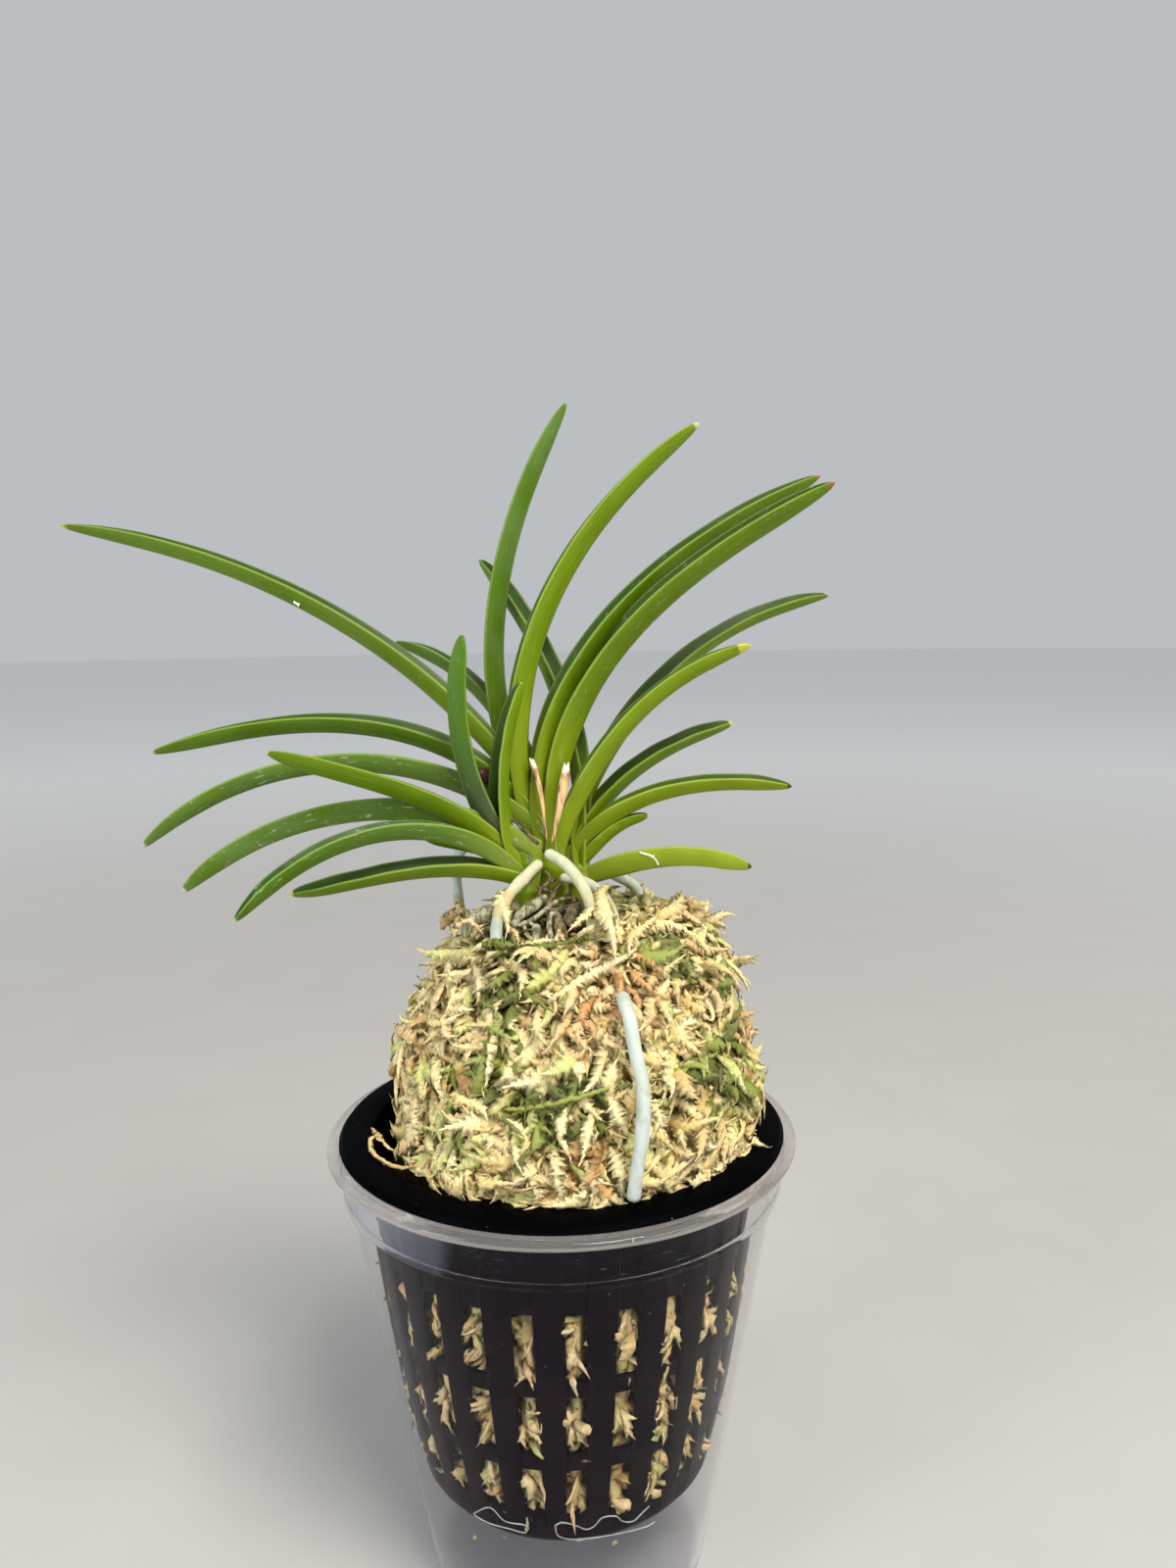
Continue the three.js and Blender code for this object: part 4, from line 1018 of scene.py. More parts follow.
FOLD_AT_FOOT, FOLD_AT_MIDDLE, HALF_CURL = 16, 36, 22
REACHES = [0.0, 0.04, 0.14, 0.3, 0.48, 0.66, 0.82, 0.93, 1.0]


def leaf_section():
    """Across one leaf: reach from the keel (-1 to 1) and side of the flesh (-1 outer, 1 inner), all round."""
    full = [-reach for reach in REACHES[:0:-1]] + REACHES
    outer = [(reach, -1) for reach in full]
    inner = [(reach, 1) for reach in full[::-1]]
    return np.array([*outer, (1.0, 0), *inner, (-1.0, 0)])


def blade(crown, leaf, seed):
    """Points of a leaf, row by row, with their run along it, reach across it, and side of the flesh.

    The first rows are the clasping foot, which runs down into the top of the stem.
    """
    rng = np.random.default_rng(seed)
    rows = LEAF_ROWS + FOOT_ROWS
    run = np.concatenate([np.zeros(FOOT_ROWS), np.linspace(0, 1, LEAF_ROWS)])
    foot, middle, tip = leaf["slope"]
    slope = foot * (1 - run) * (1 - 2 * run) + 4 * middle * run * (1 - run) + tip * run * (2 * run - 1)
    slope = np.radians(slope)
    wobble = rng.uniform(-1, 1, 4)
    slope += np.radians(0.8 * wobble[0] * np.sin(9 * run + 3 * wobble[1]) * run)
    heading = np.radians(leaf["azimuth"] + leaf["sweep"] * run + 0.8 * wobble[2] * np.sin(7 * run) * run)
    ahead = np.stack([np.cos(slope) * np.cos(heading), np.cos(slope) * np.sin(heading), np.sin(slope)], axis=-1)
    pace = np.where(np.arange(rows - 1) < FOOT_ROWS, 0, leaf["length"] / (LEAF_ROWS - 1))
    line = np.vstack([np.zeros(3), np.cumsum((ahead[1:] + ahead[:-1]) / 2 * pace[:, None], axis=0)])
    line += [crown[0] + leaf["foot"][0], crown[1], crown[2] + leaf["foot"][1]]
    down = (1 - np.arange(FOOT_ROWS) / FOOT_ROWS)[:, None]
    root = np.array(crown) + [0.3 * leaf["foot"][0], 0, -2.5]
    rise_way = (line[0] - root) / np.linalg.norm(line[0] - root)
    ahead[:FOOT_ROWS] = rise_way * down + ahead[:FOOT_ROWS] * (1 - down)
    ahead[:FOOT_ROWS] /= np.linalg.norm(ahead[:FOOT_ROWS], axis=1)[:, None]
    line[:FOOT_ROWS] += (root - line[0]) * down
    level = np.stack([-np.sin(heading), np.cos(heading), 0 * heading], axis=-1)
    upper = np.cross(ahead, level)
    roll = np.radians(leaf["turn"] + 4 * wobble[3] * np.sin(5 * run))[:, None]
    side = level * np.cos(roll) + upper * np.sin(roll)
    open_way = upper * np.cos(roll) - level * np.sin(roll)
    opening = np.clip(run / 0.3, 0, 1)
    narrowing = np.sqrt(1 - (1 - np.clip((1 - run) / 0.17, 0, 1)) ** 1.9)
    slimming = 1 - 0.24 * np.clip((run - 0.35) / 0.6, 0, 1) ** 1.3
    width = leaf["width"] * (0.7 + 0.3 * opening ** 2 * (3 - 2 * opening))
    width = width * slimming * np.maximum(narrowing, 0.05)
    fold = np.radians(np.interp(run, [0, 0.35], [FOLD_AT_FOOT, FOLD_AT_MIDDLE]))
    flesh = (1.05 - 0.35 * run) * np.clip(narrowing, 0.25, 1) / 2
    reaches = np.array(REACHES)
    steps = np.diff(reaches)
    mids = (reaches[1:] + reaches[:-1]) / 2
    curl = np.radians(HALF_CURL)
    lean = fold[:, None] + curl * (0.5 - mids[None, :])
    across = np.hstack([np.zeros((rows, 1)), np.cumsum(np.sin(lean) * steps, axis=1)])
    rise = np.hstack([np.zeros((rows, 1)), np.cumsum(np.cos(lean) * steps, axis=1)])
    section = leaf_section()
    points = []
    for row in range(rows):
        ripple = 0.12 * math.sin(34 * run[row] + 5 * wobble[1]) * run[row]
        for reach, face in section:
            sign = 1 if reach >= 0 else -1
            i = int(np.argmin(np.abs(reaches - abs(reach))))
            angle = fold[row] + curl * (0.5 - abs(reach))
            normal = np.array([-sign * math.cos(angle), math.sin(angle)]) if i else np.array([0, 1.0])
            thick = flesh[row] * (1 - 0.5 * abs(reach) ** 2.5)
            cap = 0.7 * thick if face == 0 else 0
            x = sign * (across[row, i] * width[row]) + normal[0] * face * thick
            x = x + sign * math.sin(angle) * cap
            z = (rise[row, i] - rise[row, -1] / 2) * width[row] + normal[1] * face * thick
            z = z + math.cos(angle) * cap
            points.append(line[row] + side[row] * (x + ripple * abs(reach) ** 2) + open_way[row] * z)
    around = len(section)
    return points, around, np.repeat(run, around), np.tile(section[:, 0], rows), np.tile(section[:, 1], rows)


def stem_skin(crown, half, foot_z):
    """The short stem under a fan of leaves, ringed where old leaves have dropped."""
    rows = []
    turn = np.linspace(0, 2 * math.pi, STEM_SIDES, endpoint=False)
    heights = [foot_z, *(crown[2] + np.array([-4, -2, -0.6, 0.3, 0.5]))]
    for z in np.linspace(foot_z, crown[2] + 0.5, STEM_ROWS):
        fullness = np.interp(z, heights, [0.5, 0.9, 1, 0.8, 0.35, 0.05])
        ring = 1 + 0.05 * math.sin(2.4 * z) ** 3
        rows.append(np.stack([
            crown[0] + half[0] * fullness * ring * np.cos(turn),
            crown[1] + half[1] * fullness * ring * np.sin(turn),
            np.full(STEM_SIDES, z),
        ], axis=-1))
    return np.concatenate(rows)


def leaf_green():
    """Waxy leaf: deep green, fresher at the foot, with a pale margin, veins, bloom, scuffs and dry tips.
    The inner face of the fold is painted dark as shade, and the freshest leaves paler as painted sheen and light
    shining through.
    """
    finish = Finish("leaf_green")
    place = finish.place()
    run = finish.attribute("run")
    reach = abs(finish.attribute("reach"))
    inner = finish.attribute("flesh").ease(-0.1, 0.1)
    nature = finish.attribute("nature", "Color")
    fresh_and_painted_light = finish.node("ShaderNodeSeparateColor", None, {"Color": nature}, "Red")
    bloom = Value(finish, fresh_and_painted_light.socket.node.outputs["Green"])
    scuff = Value(finish, fresh_and_painted_light.socket.node.outputs["Blue"])
    vein_map = finish.node("ShaderNodeUVMap", {"uv_map": "leaf"})
    veins = finish.noise(finish.stretched(vein_map, (5, 0.12, 1)), 1, 3, 0.6)
    blotch = finish.noise(place, 110, 3, 0.55)
    deep = finish.mix(blotch, (0.034, 0.098, 0.001), (0.064, 0.145, 0.003))
    light = finish.mix(blotch, (0.13, 0.21, 0.001), (0.22, 0.3, 0.004))
    foot = 1 - run.ease(0.02, 0.42)
    colour = finish.mix((0.15 + 0.6 * fresh_and_painted_light + 0.55 * foot) * (0.6 + 0.8 * veins.ease(0.3, 0.7)), deep, light)
    colour = finish.mix(foot * foot * 0.5, colour, (0.165, 0.19, 0.002))
    # Freshness above 0.9 paints the leaf paler: painted sheen and light shining through it.
    colour = finish.mix((fresh_and_painted_light - 0.9) * 0.5, colour, (0.42, 0.46, 0.05))
    dusk = (1 - run.ease(0.1, 0.7)) * (0 - bloom)
    colour = finish.mix(dusk, colour, (0.05, 0.055, 0.042))
    # Painted shade: the inner face of the fold is much darker, less so at the foot.
    colour = finish.mix(inner * (0.85 - 0.4 * foot), colour, (0.012, 0.04, 0.003))
    colour = finish.mix(bloom * blotch.ease(0.3, 0.6) * 0.6, colour, (0.13, 0.22, 0.12))
    keel = (1 - reach.ease(0.02, 0.09)) * (1 - inner)
    colour = finish.mix(keel * 0.2, colour, (0.28, 0.38, 0.05))
    margin = reach.ease(0.95, 0.995)
    colour = finish.mix(margin * 0.3, colour, (0.3, 0.4, 0.09))
    scratch = finish.noise(finish.stretched(vein_map, (1.6, 0.35, 1)), 1, 4, 0.75).ease(0.6, 0.66)
    colour = finish.mix(scratch * scuff, colour, (0.55, 0.58, 0.42))
    tip = finish.attribute("tip", "Color")
    tip_share = Value(finish, tip.socket.node.outputs["Alpha"])
    wither = (run + (blotch - 0.5) * 0.03 - 1 + tip_share).ease(0, 0.012)
    colour = finish.mix(wither, colour, tip)
    rough = 0.36 + 0.12 * blotch + 0.25 * wither + 0.1 * scratch * scuff
    relief = finish.bump(veins * 0.6 + scratch * scuff * 0.4, 0.22, 0.0003)
    waxy = finish.shader(Base_Color=colour, Roughness=rough, Specular_IOR_Level=0.19, Normal=relief)
    return finish.close(waxy)


DRY_TIP = (0.62, 0.55, 0.4)
BROWN_TIP = (0.22, 0.12, 0.035)
YELLOW_TIP = (0.5, 0.5, 0.06)
PALE_TIP = (0.5, 0.52, 0.3)
DARK_TIP = (0.06, 0.05, 0.02)
OLD_STEM = (0.07, 0.05, 0.02)
# Freshness, bloom and scuffs of each leaf, the colour of its tip, and the share of its length that it takes.
# A freshness above 0.9 also paints the leaf paler, as painted sheen and light shining through it.
NATURES = {
    "growth_centre": [
        (0.45, 0.1, 0.1, YELLOW_TIP, 0.02), (0.25, 0.1, 0.1, PALE_TIP, 0.015), (0.3, 0.35, 0.75, DRY_TIP, 0.016),
        (0.8, 0, 0.05, PALE_TIP, 0.02), (0.4, 0, 0.15, BROWN_TIP, 0.02), (0.5, 0, 0.3, BROWN_TIP, 0.02),
        (1.0, 0, 0.05, YELLOW_TIP, 0.05),
    ],
    "growth_left": [
        (0.5, 0, 0.05, PALE_TIP, 0.01), (0.2, 0.4, 0.7, DRY_TIP, 0.016), (0.1, 0.3, 0.45, DRY_TIP, 0.015),
        (0.4, 0, 0, PALE_TIP, 0.01), (0.55, 0.1, 0.05, YELLOW_TIP, 0.02), (-0.4, -0.8, 0.1, PALE_TIP, 0.005),
        (0.65, 0, 0, YELLOW_TIP, 0.01), (0.6, 0, 0, YELLOW_TIP, 0.02),
    ],
    "growth_right": [
        (0.5, 0.1, 0.05, PALE_TIP, 0.01), (0.6, 0, 0.1, PALE_TIP, 0.02), (0.6, 0, 0.05, YELLOW_TIP, 0.02),
        (1.15, 0, 0.05, DARK_TIP, 0.02), (1.0, 0, 0, PALE_TIP, 0.02), (1.6, 0, 0.05, DARK_TIP, 0.02),
    ],
    "growth_back": [(0.25, 0.2, 0.05, PALE_TIP, 0.01), (0.1, 0.35, 0.1, YELLOW_TIP, 0.008)],
}
STEM_FRESHNESS = {"growth_centre": 0.9, "growth_left": -0.4, "growth_right": 0.8, "growth_back": 0.2}


def growth(name, crown, half, foot_z, leaves, material):
    """One piece: a stem with its leaves, and the layers that their finish reads."""
    points, faces, uvs = [], [], []
    layers = {"run": [], "reach": [], "flesh": []}
    natures, tips = [], []
    for order, leaf in enumerate(leaves):
        made, around, run, reach, flesh = blade(crown, leaf, 1000 + 10 * len(name) + order)
        start = len(points)
        points += made
        faces += closed_grid(LEAF_ROWS + FOOT_ROWS, around, start)
        for key, values in zip(layers, (run, reach, flesh)):
            layers[key].append(values)
        uvs.append(np.stack([reach * leaf["width"] + 20 * flesh + 7 * order, run * leaf["length"]], axis=-1))
        fresh_and_painted_light, bloom, scuff, tip, share = NATURES[name][order]
        natures.append(np.tile((fresh_and_painted_light, bloom, scuff, 1), (len(made), 1)))
        tips.append(np.tile((*tip, share), (len(made), 1)))
    stem = stem_skin(crown, half, foot_z)
    start = len(points)
    points = np.vstack([points, stem])
    faces += grid_faces(STEM_ROWS, STEM_SIDES, True, start)
    layers = {key: np.concatenate([*parts, np.full(len(stem), 0.12)]) for key, parts in layers.items()}
    layers["flesh"][start:] = -1
    uvs = np.vstack([*uvs, stem[:, [0, 2]]])
    natures = np.vstack([*natures, np.tile((STEM_FRESHNESS[name], 0, 0.2, 1), (len(stem), 1))])
    withered = 0.8 + 0.1 * np.clip((113.5 - stem[:, 2:]) / 2, 0, 1)
    tips = np.vstack([*tips, np.hstack([np.tile(OLD_STEM, (len(stem), 1)), withered])])
    mesh = add_piece(f"{name}_leaves", points, faces, material, "leaf", name).data
    store(mesh, **layers)
    for key, values in (("nature", natures), ("tip", tips)):
        mesh.attributes.new(key, "FLOAT_COLOR", "POINT").data.foreach_set("color", values.ravel())
    corners = np.empty(len(mesh.loops), int)
    mesh.loops.foreach_get("vertex_index", corners)
    mesh.uv_layers.new(name="leaf").uv.foreach_set("vector", uvs[corners].ravel())


green = leaf_green()
for growth_name, (crown, half, foot_z, leaves) in GROWTHS.items():
    growth(growth_name, crown, half, foot_z, leaves, green)

# ---------------------------------------------------------------- aerial roots
# Thick roots under a spongy chalk-white skin. They spring from the stems, arch down into the moss, and one
# comes out of the mound and runs down its front to the flange.

ROOT_ROWS, ROOT_SIDES = 64, 20
# Radius, age along its length (0 fresh and white, 0.5 creamy, 1 dry and torn, 1.6 dead), and route of each root.
ROOTS = {
    "root_front_left": (0.88, (0.4, 0.45, 1, 1, 0.05), [
        (-2.5, -5.4, 120.4), (-5, -8, 118.4), (-7.5, -11, 116), (-8.8, -13, 113), (-9, -14.4, 109)]),
    "root_front_middle": (0.9, (0.35, 0.4, 0.45, 0.5, 0.6), [
        (-1.6, -4.9, 121.8), (1.4, -7.6, 120.4), (4, -10.6, 117.6), (5.2, -12.4, 114.4), (5.6, -13.6, 108.5)]),
    "root_front_right": (0.75, (0.3, 0.3, 0.4, 0.3, 0.3), [
        (0.4, -3.4, 117.4), (3.8, -4.6, 117.2), (6.4, -6.2, 116), (8.6, -7.8, 112.8), (9.2, -8.6, 108.5)]),
    "root_back_right": (0.9, (0.1, 0.1, 0.2, 0.2, 0.2), [
        (5.6, 3, 117), (9, 5, 116), (12.5, 7, 113.4), (15, 8.2, 109)]),
    "root_back_left": (0.9, (0.1, 0, 0, 0, 0.1), [
        (-2.6, 6.2, 117), (-6.5, 5, 119.2), (-10.5, 5, 121.2), (-15.2, 6, 120.8), (-17, 6.6, 117.4),
        (-16.8, 6.6, 112), (-16.2, 6.2, 106)]),
    "root_hollow": (1.0, (1.6, 1.6, 1.6, 1.6, 1.6), [(-2.2, -4.6, 114.2), (-4.6, -7.2, 113), (-7, -9.4, 110.4)]),
    "root_mound_front": (0.98, (0.15, 0, 0, 0, 0), [
        (9.4, -22, 104.5), (10.3, -26.6, 102.6), (11, -28.6, 98.6), (12, -30.4, 93.4), (11.8, -31, 87),
        (11, -30.8, 81.6), (10.6, -30.3, 77.8)]),
}


def tube(line, radii, sides, seed, lumpiness):
    """Points and faces of a round body along a line, a little uneven, with its ends closed by flat faces."""
    rng = np.random.default_rng(seed)
    ahead = np.gradient(line, axis=0)
    ahead /= np.linalg.norm(ahead, axis=1)[:, None]
    side = np.cross(ahead[0], [0.3, 0.2, 1])
    sides_at = []
    for forward in ahead:
        side = side - forward * side.dot(forward)
        side /= np.linalg.norm(side)
        sides_at.append(side)
    turn = np.linspace(0, 2 * math.pi, sides, endpoint=False)
    phases = rng.uniform(0, 6, 4)
    points = []
    for i, centre in enumerate(line):
        up = np.cross(ahead[i], sides_at[i])
        bumps = 1 + lumpiness * (np.sin(2 * turn + 0.35 * i + phases[0]) * 0.5 + np.sin(0.21 * i + phases[1])
                                 + 0.5 * np.sin(3 * turn - 0.5 * i + phases[2]) * math.sin(0.13 * i + phases[3]))
        reach = radii[i] * bumps
        sideways = sides_at[i] * (reach * np.cos(turn))[:, None]
        points.append(centre + sideways + up * (reach * np.sin(turn))[:, None])
    return np.concatenate(points), closed_grid(len(line), sides)


def chalky_root():
    """Spongy white root skin, finely streaked, with algae and brown stains."""
    finish = Finish("chalky_root")
    place = finish.place()
    streak = finish.noise(finish.stretched(place, (1, 1, 0.35)), 900, 3, 0.6)
    stain = finish.noise(place, 190, 4, 0.6)
    age = finish.attribute("age")
    colour = finish.mix(streak, (0.42, 0.47, 0.43), (0.6, 0.66, 0.62))
    creamy = finish.mix(streak, (0.4, 0.38, 0.22), (0.62, 0.6, 0.4))
    colour = finish.mix(age.ease(0, 0.5), colour, creamy)
    colour = finish.mix(age.ease(0.6, 1), colour, finish.mix(streak, (0.42, 0.28, 0.12), (0.75, 0.58, 0.32)))
    colour = finish.mix(age.ease(1.1, 1.5), colour, finish.mix(streak, (0.07, 0.065, 0.04), (0.22, 0.2, 0.13)))
    colour = finish.mix(stain.ease(0.5, 0.68) * 0.55, colour, (0.3, 0.25, 0.11))
    colour = finish.mix(finish.noise(place, 120, 2).ease(0.5, 0.7) * 0.4, colour, (0.26, 0.31, 0.16))
    relief = finish.bump(streak + stain * 0.5, 0.4, 0.0003)
    return finish.close(finish.shader(Base_Color=colour, Roughness=0.8, Specular_IOR_Level=0.3, Normal=relief))


chalk = chalky_root()
for order, (root_name, (radius, ages, knots)) in enumerate(ROOTS.items()):
    line = smooth_line(knots, ROOT_ROWS)
    share = np.linspace(0, 1, ROOT_ROWS)
    age = np.interp(share, [0, 0.42, 0.48, 0.7, 0.73], ages)
    girth = radius * (1 - 0.5 * np.clip(1 - share / 0.04, 0, 1) ** 2) * (1 + 0.2 * np.clip(2 * age - 1.4, 0, 1))
    root_points, root_faces = tube(line, girth, ROOT_SIDES, 70 + order, 0.045 + 0.03 * (order == 0))
    root = add_piece(f"{root_name}_skin", root_points, root_faces, chalk, "root", root_name)
    store(root.data, age=np.repeat(age, ROOT_SIDES))

# ---------------------------------------------------------------- dry sheaths and the flower stalk
# Two old leaf feet stand dry and papery between the fans, and a dark stub is left of a spent flower stalk.

SHEATH_ROWS, SHEATH_COLUMNS = 40, 13
SHEATH_SHARES = [0, 0.25, 0.45, 0.6, 0.76, 0.86, 0.93, 1]
# Half width at those shares of its length, from its foot to its hollow white end, and route of each sheath.
SHEATHS = {
    "dry_sheath_left": ([0.14, 0.18, 0.26, 0.32, 0.36, 0.44, 0.42, 0.26], [
        (-1.6, -3.9, 123.4), (-1.9, -4.2, 126.6), (-2.3, -4, 130.6), (-3.1, -3.6, 134), (-3.8, -3.2, 136.2)]),
    "dry_sheath_right": ([0.16, 0.3, 0.46, 0.66, 0.76, 0.58, 0.52, 0.32], [
        (-0.7, -4.2, 123.2), (0.1, -4.5, 126.6), (0.9, -4.4, 130.2), (1.4, -4, 133), (1.7, -3.6, 135.4)]),
}
STALK_RADIUS, STALK_ROWS, STALK_SIDES = 1.1, 30, 14
STALK = [(-9, -2.4, 131), (-10.2, -2.6, 132.4), (-12, -3, 134.4)]


def papery(name, low, high):
    """Dry fibrous skin between two colours, pale at its end."""
    finish = Finish(name)
    place = finish.place()
    along = finish.noise(finish.stretched(place, (1, 1, 0.12)), 1500, 3, 0.6)
    run = finish.attribute("run")
    blotch = finish.noise(place, 300, 3)
    colour = finish.mix(along.ease(0.36, 0.62), low, high)
    colour = finish.mix((run + 0.2 * (blotch - 0.5)).ease(0.87, 0.92), colour, (0.7, 0.63, 0.5))
    relief = finish.bump(along, 0.5, 0.0003)
    return finish.close(finish.shader(Base_Color=colour, Roughness=0.7, Normal=relief))


paper = papery("dry_paper", (0.2, 0.09, 0.035), (0.64, 0.42, 0.2))
for order, (sheath_name, (halves, knots)) in enumerate(SHEATHS.items()):
    rng = np.random.default_rng(30 + order)
    line = smooth_line(knots, SHEATH_ROWS)
    ragged = rng.uniform(-1, 1, SHEATH_COLUMNS) * 0.25
    sheath_points = []
    for row, centre in enumerate(line):
        share = row / (SHEATH_ROWS - 1)
        reach = np.interp(share, SHEATH_SHARES, halves)
        for column, across in enumerate(np.linspace(-1, 1, SHEATH_COLUMNS)):
            curl = 2.2 * across
            crease = 0.06 * math.sin(9 * across + 14 * share)
            up = ragged[column] * max(0, share - 0.8) / 0.2
            sheath_points.append(centre + [
                reach * math.sin(curl), 0.8 * reach * (1 - math.cos(curl)) + crease, up,
            ])
    sheath_faces = grid_faces(SHEATH_ROWS, SHEATH_COLUMNS, False)
    sheath = add_piece(f"{sheath_name}_paper", sheath_points, sheath_faces, paper, "dry_sheath", sheath_name)
    store(sheath.data, run=np.repeat(np.linspace(0, 1, SHEATH_ROWS), SHEATH_COLUMNS))
    finished(sheath, ("SOLIDIFY", {"thickness": 0.16 * MM, "offset": 0}))


def dark_stalk():
    """Dried red-brown stalk, finely grooved."""
    finish = Finish("dark_stalk")
    place = finish.place()
    grain = finish.noise(finish.stretched(place, (1, 1, 0.4)), 1400, 3)
    colour = finish.mix(grain, (0.02, 0.005, 0.004), (0.09, 0.02, 0.014))
    relief = finish.bump(grain, 0.4, 0.0003)
    return finish.close(finish.shader(Base_Color=colour, Roughness=0.45, Normal=relief))


stalk_shares = np.linspace(0, 1, STALK_ROWS)
stalk_radii = STALK_RADIUS * np.interp(stalk_shares, [0, 0.5, 0.93, 1], [0.8, 0.85, 1, 0.75])
stalk_points, stalk_faces = tube(smooth_line(STALK, STALK_ROWS), stalk_radii, STALK_SIDES, 5, 0.06)
add_piece("stalk_stub", stalk_points, stalk_faces, dark_stalk(), "flower_stalk", "flower_stalk_stub")

# ---------------------------------------------------------------- marks on the leaves
# A fleck of lime lies on the long left leaf. The low right leaf has a healed scratch that stands up as a pale
# line, with a short branch.

LEAF_MARKS = [
    (0.24, [(-41.3, 4.75, 160.9), (-40.9, 4.72, 160.6), (-40.4, 4.7, 160.3)]),
    (0.12, [
        (12.9, -2.9, 121.2), (13.6, -3.2, 121.05), (14.8, -3.55, 120.7), (15.5, -3.5, 120),
        (15.9, -3.4, 119.2)]),
    (0.14, [(14.4, -3.5, 120.9), (14.9, -3.6, 120.6), (15.2, -3.6, 120.9)]),
]


def tubes(routes, rows, sides, seed, lumpiness):
    """Points and faces of several tubes in one mesh, from the radius and route of each."""
    points, faces = [], []
    for order, (radius, route) in enumerate(routes):
        made, made_faces = tube(smooth_line(route, rows), np.full(rows, radius), sides, seed + order, lumpiness)
        faces += shifted(made_faces, len(points))
        points += list(made)
    return points, faces


pale_mark = papery("leaf_marks", (0.62, 0.6, 0.42), (0.86, 0.85, 0.78))
add_piece("leaf_marks", *tubes(LEAF_MARKS, 20, 8, 140, 0.3), pale_mark, "leaf")

# ---------------------------------------------------------------- litter between the stems
# Rotten moss, dark of itself and painted darker as the shade in the hollow under the crown, dead rootlets and
# old leaf feet fill the hollow between the stems, and scraps of dry moss hang over the roots where they go into
# the heap.

LITTER_MIDDLE, LITTER_HALF = (-0.6, -5, 108.5), (9.4, 8, 4)
LITTER_ROUND, LITTER_ROWS = 64, 26
# Radius and route of the old feet and root ends, dark ones and pale ones.
DARK_FEET = [(0.85, [(-0.3, -9, 113.4), (0, -10, 112.9), (0.6, -12.5, 111.2), (0.8, -14, 109.6)]),
             (0.9, [(3.6, -8.6, 114.2), (2.4, -9.6, 113.4), (1.6, -11, 112)]),
             (0.7, [(-7.4, -8, 114.6), (-6, -8.6, 113.8), (-4.6, -9, 112.6)])]
PALE_FEET = [(1.15, [(-14.3, -10.5, 110.3), (-13.4, -10.5, 112), (-11.7, -9.5, 112.9), (-9.2, -8.5, 113)]),
             (0.78, [(-6.6, -12.4, 112), (-5.5, -10.8, 113.4), (-3.7, -9, 114.2), (-1.9, -7, 115.2)]),
             (0.62, [(-3, -12.6, 112), (-3, -13.2, 111.5), (-3, -14.2, 109.6)]),
             (0.42, [(-0.1, -10.4, 113.3), (-0.9, -10.8, 113.4), (-1.1, -12.3, 112), (-0.7, -13.8, 110.4)]),
             (0.34, [(1.9, -6.5, 114.9), (0.2, -7.5, 114.8), (-1.7, -9.5, 113.8), (-3.6, -11.2, 112.8),
                     (-5.4, -12.4, 112)]),
             (0.26, [(-5.8, -12.8, 112.2), (-4.4, -12.3, 112.6), (-2.6, -12.8, 111.8)]),
             (0.3, [(-4.9, -12.6, 112.2), (-4.5, -13.2, 111.3), (-3.7, -14.2, 110.2)])]
ROOTLET_RADIUS = 0.24
ROOTLETS = [[(-1.8, -6, 119.1), (-1.1, -6.4, 118.3), (-1.4, -6.9, 117.4), (-2.4, -7.2, 116.7),
             (-2.8, -7.6, 115.6)],
            [(-3, -7, 116.8), (-1.7, -7.5, 116.5), (-0.7, -7.5, 116)],
            [(0, -6.2, 117.9), (-0.8, -6.7, 117.6), (-1.7, -6.8, 117.1)],
            [(0.7, -6.3, 117.4), (0.1, -6.8, 116.7), (-0.7, -7.3, 115.8), (-1, -8.2, 114.7),
             (-0.9, -9.6, 113.2)],
            [(-0.3, -6.6, 116.6), (-0.4, -7.4, 115.6), (-1.3, -8.4, 114.6), (-1.6, -10, 113)],
            [(2.2, -8, 114.2), (0.8, -9.4, 113.8), (-0.2, -10.2, 112.6)],
            [(-7.4, -6.1, 127.9), (-4.8, -6, 125.4), (-3.1, -5.8, 123.6), (-1.9, -4.2, 121.8)]]
